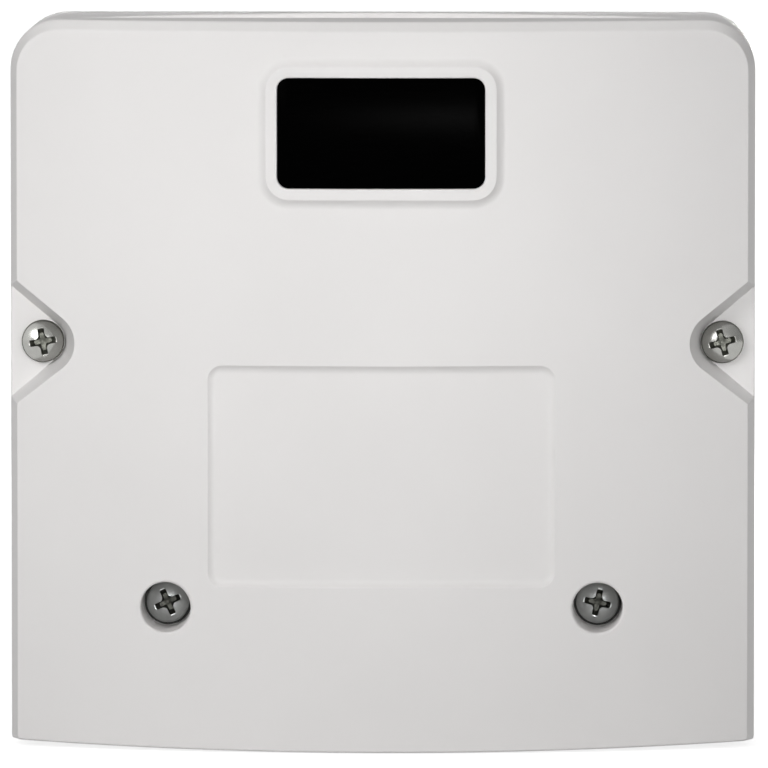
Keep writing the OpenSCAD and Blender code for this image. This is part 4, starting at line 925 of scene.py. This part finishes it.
for s in (-1, 1):
    # Tongues that dip into the tray, each with a root on the cover's wall: above, below and at the sides.
    left, right = s * 30 - TONGUE / 2, s * 30 + TONGUE / 2
    add_box(bm, (left, -33.0, 63.6), (right, -TONGUE_END, 65.2), 0.25)
    add_box(bm, (left, -34.0, 63.6), (right, -ROOT_END, 65.8), 0.2)
    left, right = s * 14 - TONGUE / 2, s * 14 + TONGUE / 2
    add_box(bm, (left, -33.0, -64.0), (right, -TONGUE_END, -62.4), 0.25)
    add_box(bm, (left, -34.0, -64.6), (right, -ROOT_END, -62.4), 0.2)
    for z in (39.0, -31.5):
        low, high = z - TONGUE / 2, z + TONGUE / 2
        add_box(bm, (min(s * 65.1, s * 66.7), -31.5, low), (max(s * 65.1, s * 66.7), -TONGUE_END, high), 0.25)
        add_box(bm, (min(s * 65.1, s * 67.3), -31.6, low), (max(s * 65.1, s * 67.3), -ROOT_END, high), 0.2)
mesh = piece_from(bm, "cover_moulding", [abs_white], "cover", ["front_cover"]).data
# The front is shaded by the slope of its surface, so that the mesh lines don't show.
step = 0.01
corners = [list(n.vector) for n in mesh.corner_normals]
for polygon in mesh.polygons:
    places = [mesh.vertices[i].co / MM for i in polygon.vertices]
    if polygon.normal.y < 0 and all(abs(p.y + front_height(p.x, p.z)) < 0.003 for p in places):
        for loop, p in zip(polygon.loop_indices, places):
            slope_x = (front_height(p.x + step, p.z) - front_height(p.x - step, p.z)) / (2 * step)
            slope_z = (front_height(p.x, p.z + step) - front_height(p.x, p.z - step)) / (2 * step)
            corners[loop] = Vector((-slope_x, -1.0, -slope_z)).normalized()
mesh.normals_split_custom_set(corners)


# Display window: a smoked acrylic pane, near black, clipped into the rim from behind by its flange.
# It carries the faint dust and hairline wipes that polished acrylic soon shows.
def smoked_acrylic(name):
    """Near-black acrylic with fine wipe marks in its polish."""
    made, tree, place = new_material(name)
    stretched = add_node(tree, "ShaderNodeMapping", {"Scale": (1000 / 6.0, 1000 / 6.0, 1000 / 0.4)}, {"Vector": place})
    wipes = add_node(tree, "ShaderNodeTexNoise", {"Scale": 1.0, "Detail": 3.0}, {"Vector": stretched.outputs[0]})
    tint = add_node(tree, "ShaderNodeMix", {"data_type": "RGBA", 6: srgb("#000000"), 7: srgb("#020202")},
                    {"Factor": wipes.outputs["Fac"]})
    sheen = add_node(tree, "ShaderNodeMapRange", {"To Min": 0.16, "To Max": 0.26}, {"Value": wipes.outputs["Fac"]})
    skin = add_node(tree, "ShaderNodeBsdfPrincipled", {"IOR": 1.49, "Specular IOR Level": 0.004},
                    {"Base Color": tint.outputs[2], "Roughness": sheen.outputs[0]})
    add_node(tree, "ShaderNodeOutputMaterial", None, {"Surface": skin.outputs[0]})
    return made


acrylic = smoked_acrylic("smoked_acrylic")
softened("display_window", "window_pane", [acrylic], 0.15, "cover")


# Sealing washers: two rings of matt grey rubber that lie on the floors of the wells, pressed down by
# the lower screws. Their dark grey is painted shade: it stands in for the shade in the gap round the
# screw heads, and shows there as a dark line.
# Painted shade: the washers' dark grey gives the dark ring round the lower screw heads.
washer_rubber_and_shade = moulded_plastic("washer_rubber_and_shade", "#5A5A58", "#484846", 0.6)
softened("sealing_washers", "well_washers", [washer_rubber_and_shade], 0.15, "cover")


# Cover screws: four self-tapping pan-head screws of zinc-plated steel with a cross recess, two on the
# ledges of the side notches and two deep in the wells. The side pair is bright, the lower pair dull.
# A darker steel paints shade into the cross recesses, darkest for the pair deep in the wells, and
# paints a dark reflection round the rims of the side pair's heads.
HEAD_R, HEAD_H, SHANK_R, CORE_R, SCREW_L, PITCH, CROSS_D = 4.0, 3.1, 2.1, 1.55, 16.0, 1.4, 1.7
DOME = (HEAD_R ** 2 + HEAD_H ** 2 / 4) / HEAD_H
SIDES, THREAD_ROWS = 48, 92


def cross_ring(x, z, turn, scale):
    """Outline of the cross recess: round arm ends and a round pool in the middle."""
    arm, half, tip, pool = 2.5 * scale, 0.58 * scale, 0.34 * scale, 1.3 * scale
    quarter = [(pool, -half)]
    quarter += [(arm - tip + tip * math.cos(a), tip - half + tip * math.sin(a))
                for a in (math.radians(-90 + 22.5 * k) for k in range(5))]
    quarter += [(arm - tip + tip * math.cos(a), half - tip + tip * math.sin(a))
                for a in (math.radians(22.5 * k) for k in range(5))]
    quarter += [(pool, half)]
    quarter += [(pool - (pool - half) * math.sin(a), pool - (pool - half) * math.cos(a))
                for a in (math.radians(18 * k) for k in range(1, 5))]
    made = []
    for k in range(4):
        c, s = math.cos(math.radians(turn + 90 * k)), math.sin(math.radians(turn + 90 * k))
        made += [(x + px * c - pz * s, z + px * s + pz * c) for px, pz in quarter]
    return made


def cover_screw(name, node, body, x, z, seat, turn, material, painted_shade, slot):
    """One screw: domed head with its recess, and a threaded shank that runs to a point."""
    def head_height(px, pz):
        return seat + HEAD_H - DOME + math.sqrt(DOME ** 2 - min((px - x) ** 2 + (pz - z) ** 2, HEAD_R ** 2))

    def pool_height(px, pz):
        return deep - 0.5 * ramp(0.8 - math.hypot(px - x, pz - z), 0.1)

    bm = bmesh.new()
    rim = circle_ring(x, z, HEAD_R - 0.2, SIDES)
    mouth, edge, foot = (cross_ring(x, z, turn, scale) for scale in (1.07, 1.0, 0.66))
    deep = seat + HEAD_H - CROSS_D
    lowered = [(px, y + 0.12, pz) for px, y, pz in lift(edge, head_height)]
    add_faces(bm, *surface(head_height, rim, [mouth], [(circle_ring(x, z, 3.3, 40), True)], 0.55))
    add_walls(bm, [lift(mouth, head_height), lowered])
    recess = add_walls(bm, [lowered, lift(foot, deep)])
    recess += add_faces(bm, *surface(pool_height, foot, [], [], 0.3))
    rings = [lift(rim, head_height)]
    for r, h in ((HEAD_R - 0.06, 1.5), (HEAD_R, 1.3), (HEAD_R, 0.2), (HEAD_R - 0.2, 0.0), (SHANK_R + 0.25, 0.0)):
        rings.append(lift(circle_ring(x, z, r, SIDES), seat + h))
    for k in range(THREAD_ROWS + 1):
        down = 0.25 + (SCREW_L - 0.25) * k / THREAD_ROWS
        taper = min(1.0, 0.12 + (SCREW_L - down) / 3.4)
        ring = []
        for i in range(SIDES):
            turned = (down / PITCH + i / SIDES) % 1.0
            crest = max(0.0, 1 - abs(turned - 0.5) * 3.4)
            r = taper * (CORE_R + (SHANK_R - CORE_R) * crest)
            a = 2 * math.pi * i / SIDES
            ring.append((x + r * math.cos(a), -(seat - down), z + r * math.sin(a)))
        rings.append(ring)
    # The recess walls and floor take the darker steel as painted shade. On the bright side screws the head's rounded
    # edge and side take it too, as a painted dark reflection round the rim.
    for face in recess + add_walls(bm, rings[:4]):
        face.material_index = 1 if face in recess or material == bright_zinc else 0
    add_walls(bm, rings[3:])
    bmesh.ops.remove_doubles(bm, verts=bm.verts, dist=0.002)
    bmesh.ops.holes_fill(bm, edges=[e for e in bm.edges if e.is_boundary], sides=0)
    bmesh.ops.recalc_face_normals(bm, faces=bm.faces)
    return piece_from(bm, name, [material, painted_shade], body, [node])


bright_zinc = plated_steel("bright_zinc_steel", "#B2B2AE", "#9C9C98", 0.22)
dull_zinc = plated_steel("dull_zinc_steel", "#D8DBDA", "#C6C9C8", 0.36)
# Painted shade and reflection: a darker steel for the recesses and the side heads' rims, and a still darker copy for
# the recesses of the screws deep in the wells.
recess_and_rim_shade = plated_steel("painted_recess_and_rim_shade", "#7E7F78", "#565750", 0.42)
deep_recess_shade = plated_steel("painted_deep_recess_shade", "#6A6B65", "#4A4B46", 0.46)
bright, dull = (bright_zinc, recess_and_rim_shade, "bright_steel"), (dull_zinc, deep_recess_shade, "dull_steel")
side_seat = LEDGE + 0.02
cover_screw("screw_at_left", "side_screw_left", "screw_side_left", -SIDE_X, SIDE_Z, side_seat, 10, *bright)
cover_screw("screw_at_right", "side_screw_right", "screw_side_right", SIDE_X, SIDE_Z, side_seat, 15, *bright)
cover_screw("screw_in_left_well", "lower_screw_left", "screw_lower_left", -LOW_X, LOW_Z, WELL_SEAT, 24, *dull)
cover_screw("screw_in_right_well", "lower_screw_right", "screw_lower_right", LOW_X, LOW_Z, WELL_SEAT, -12, *dull)
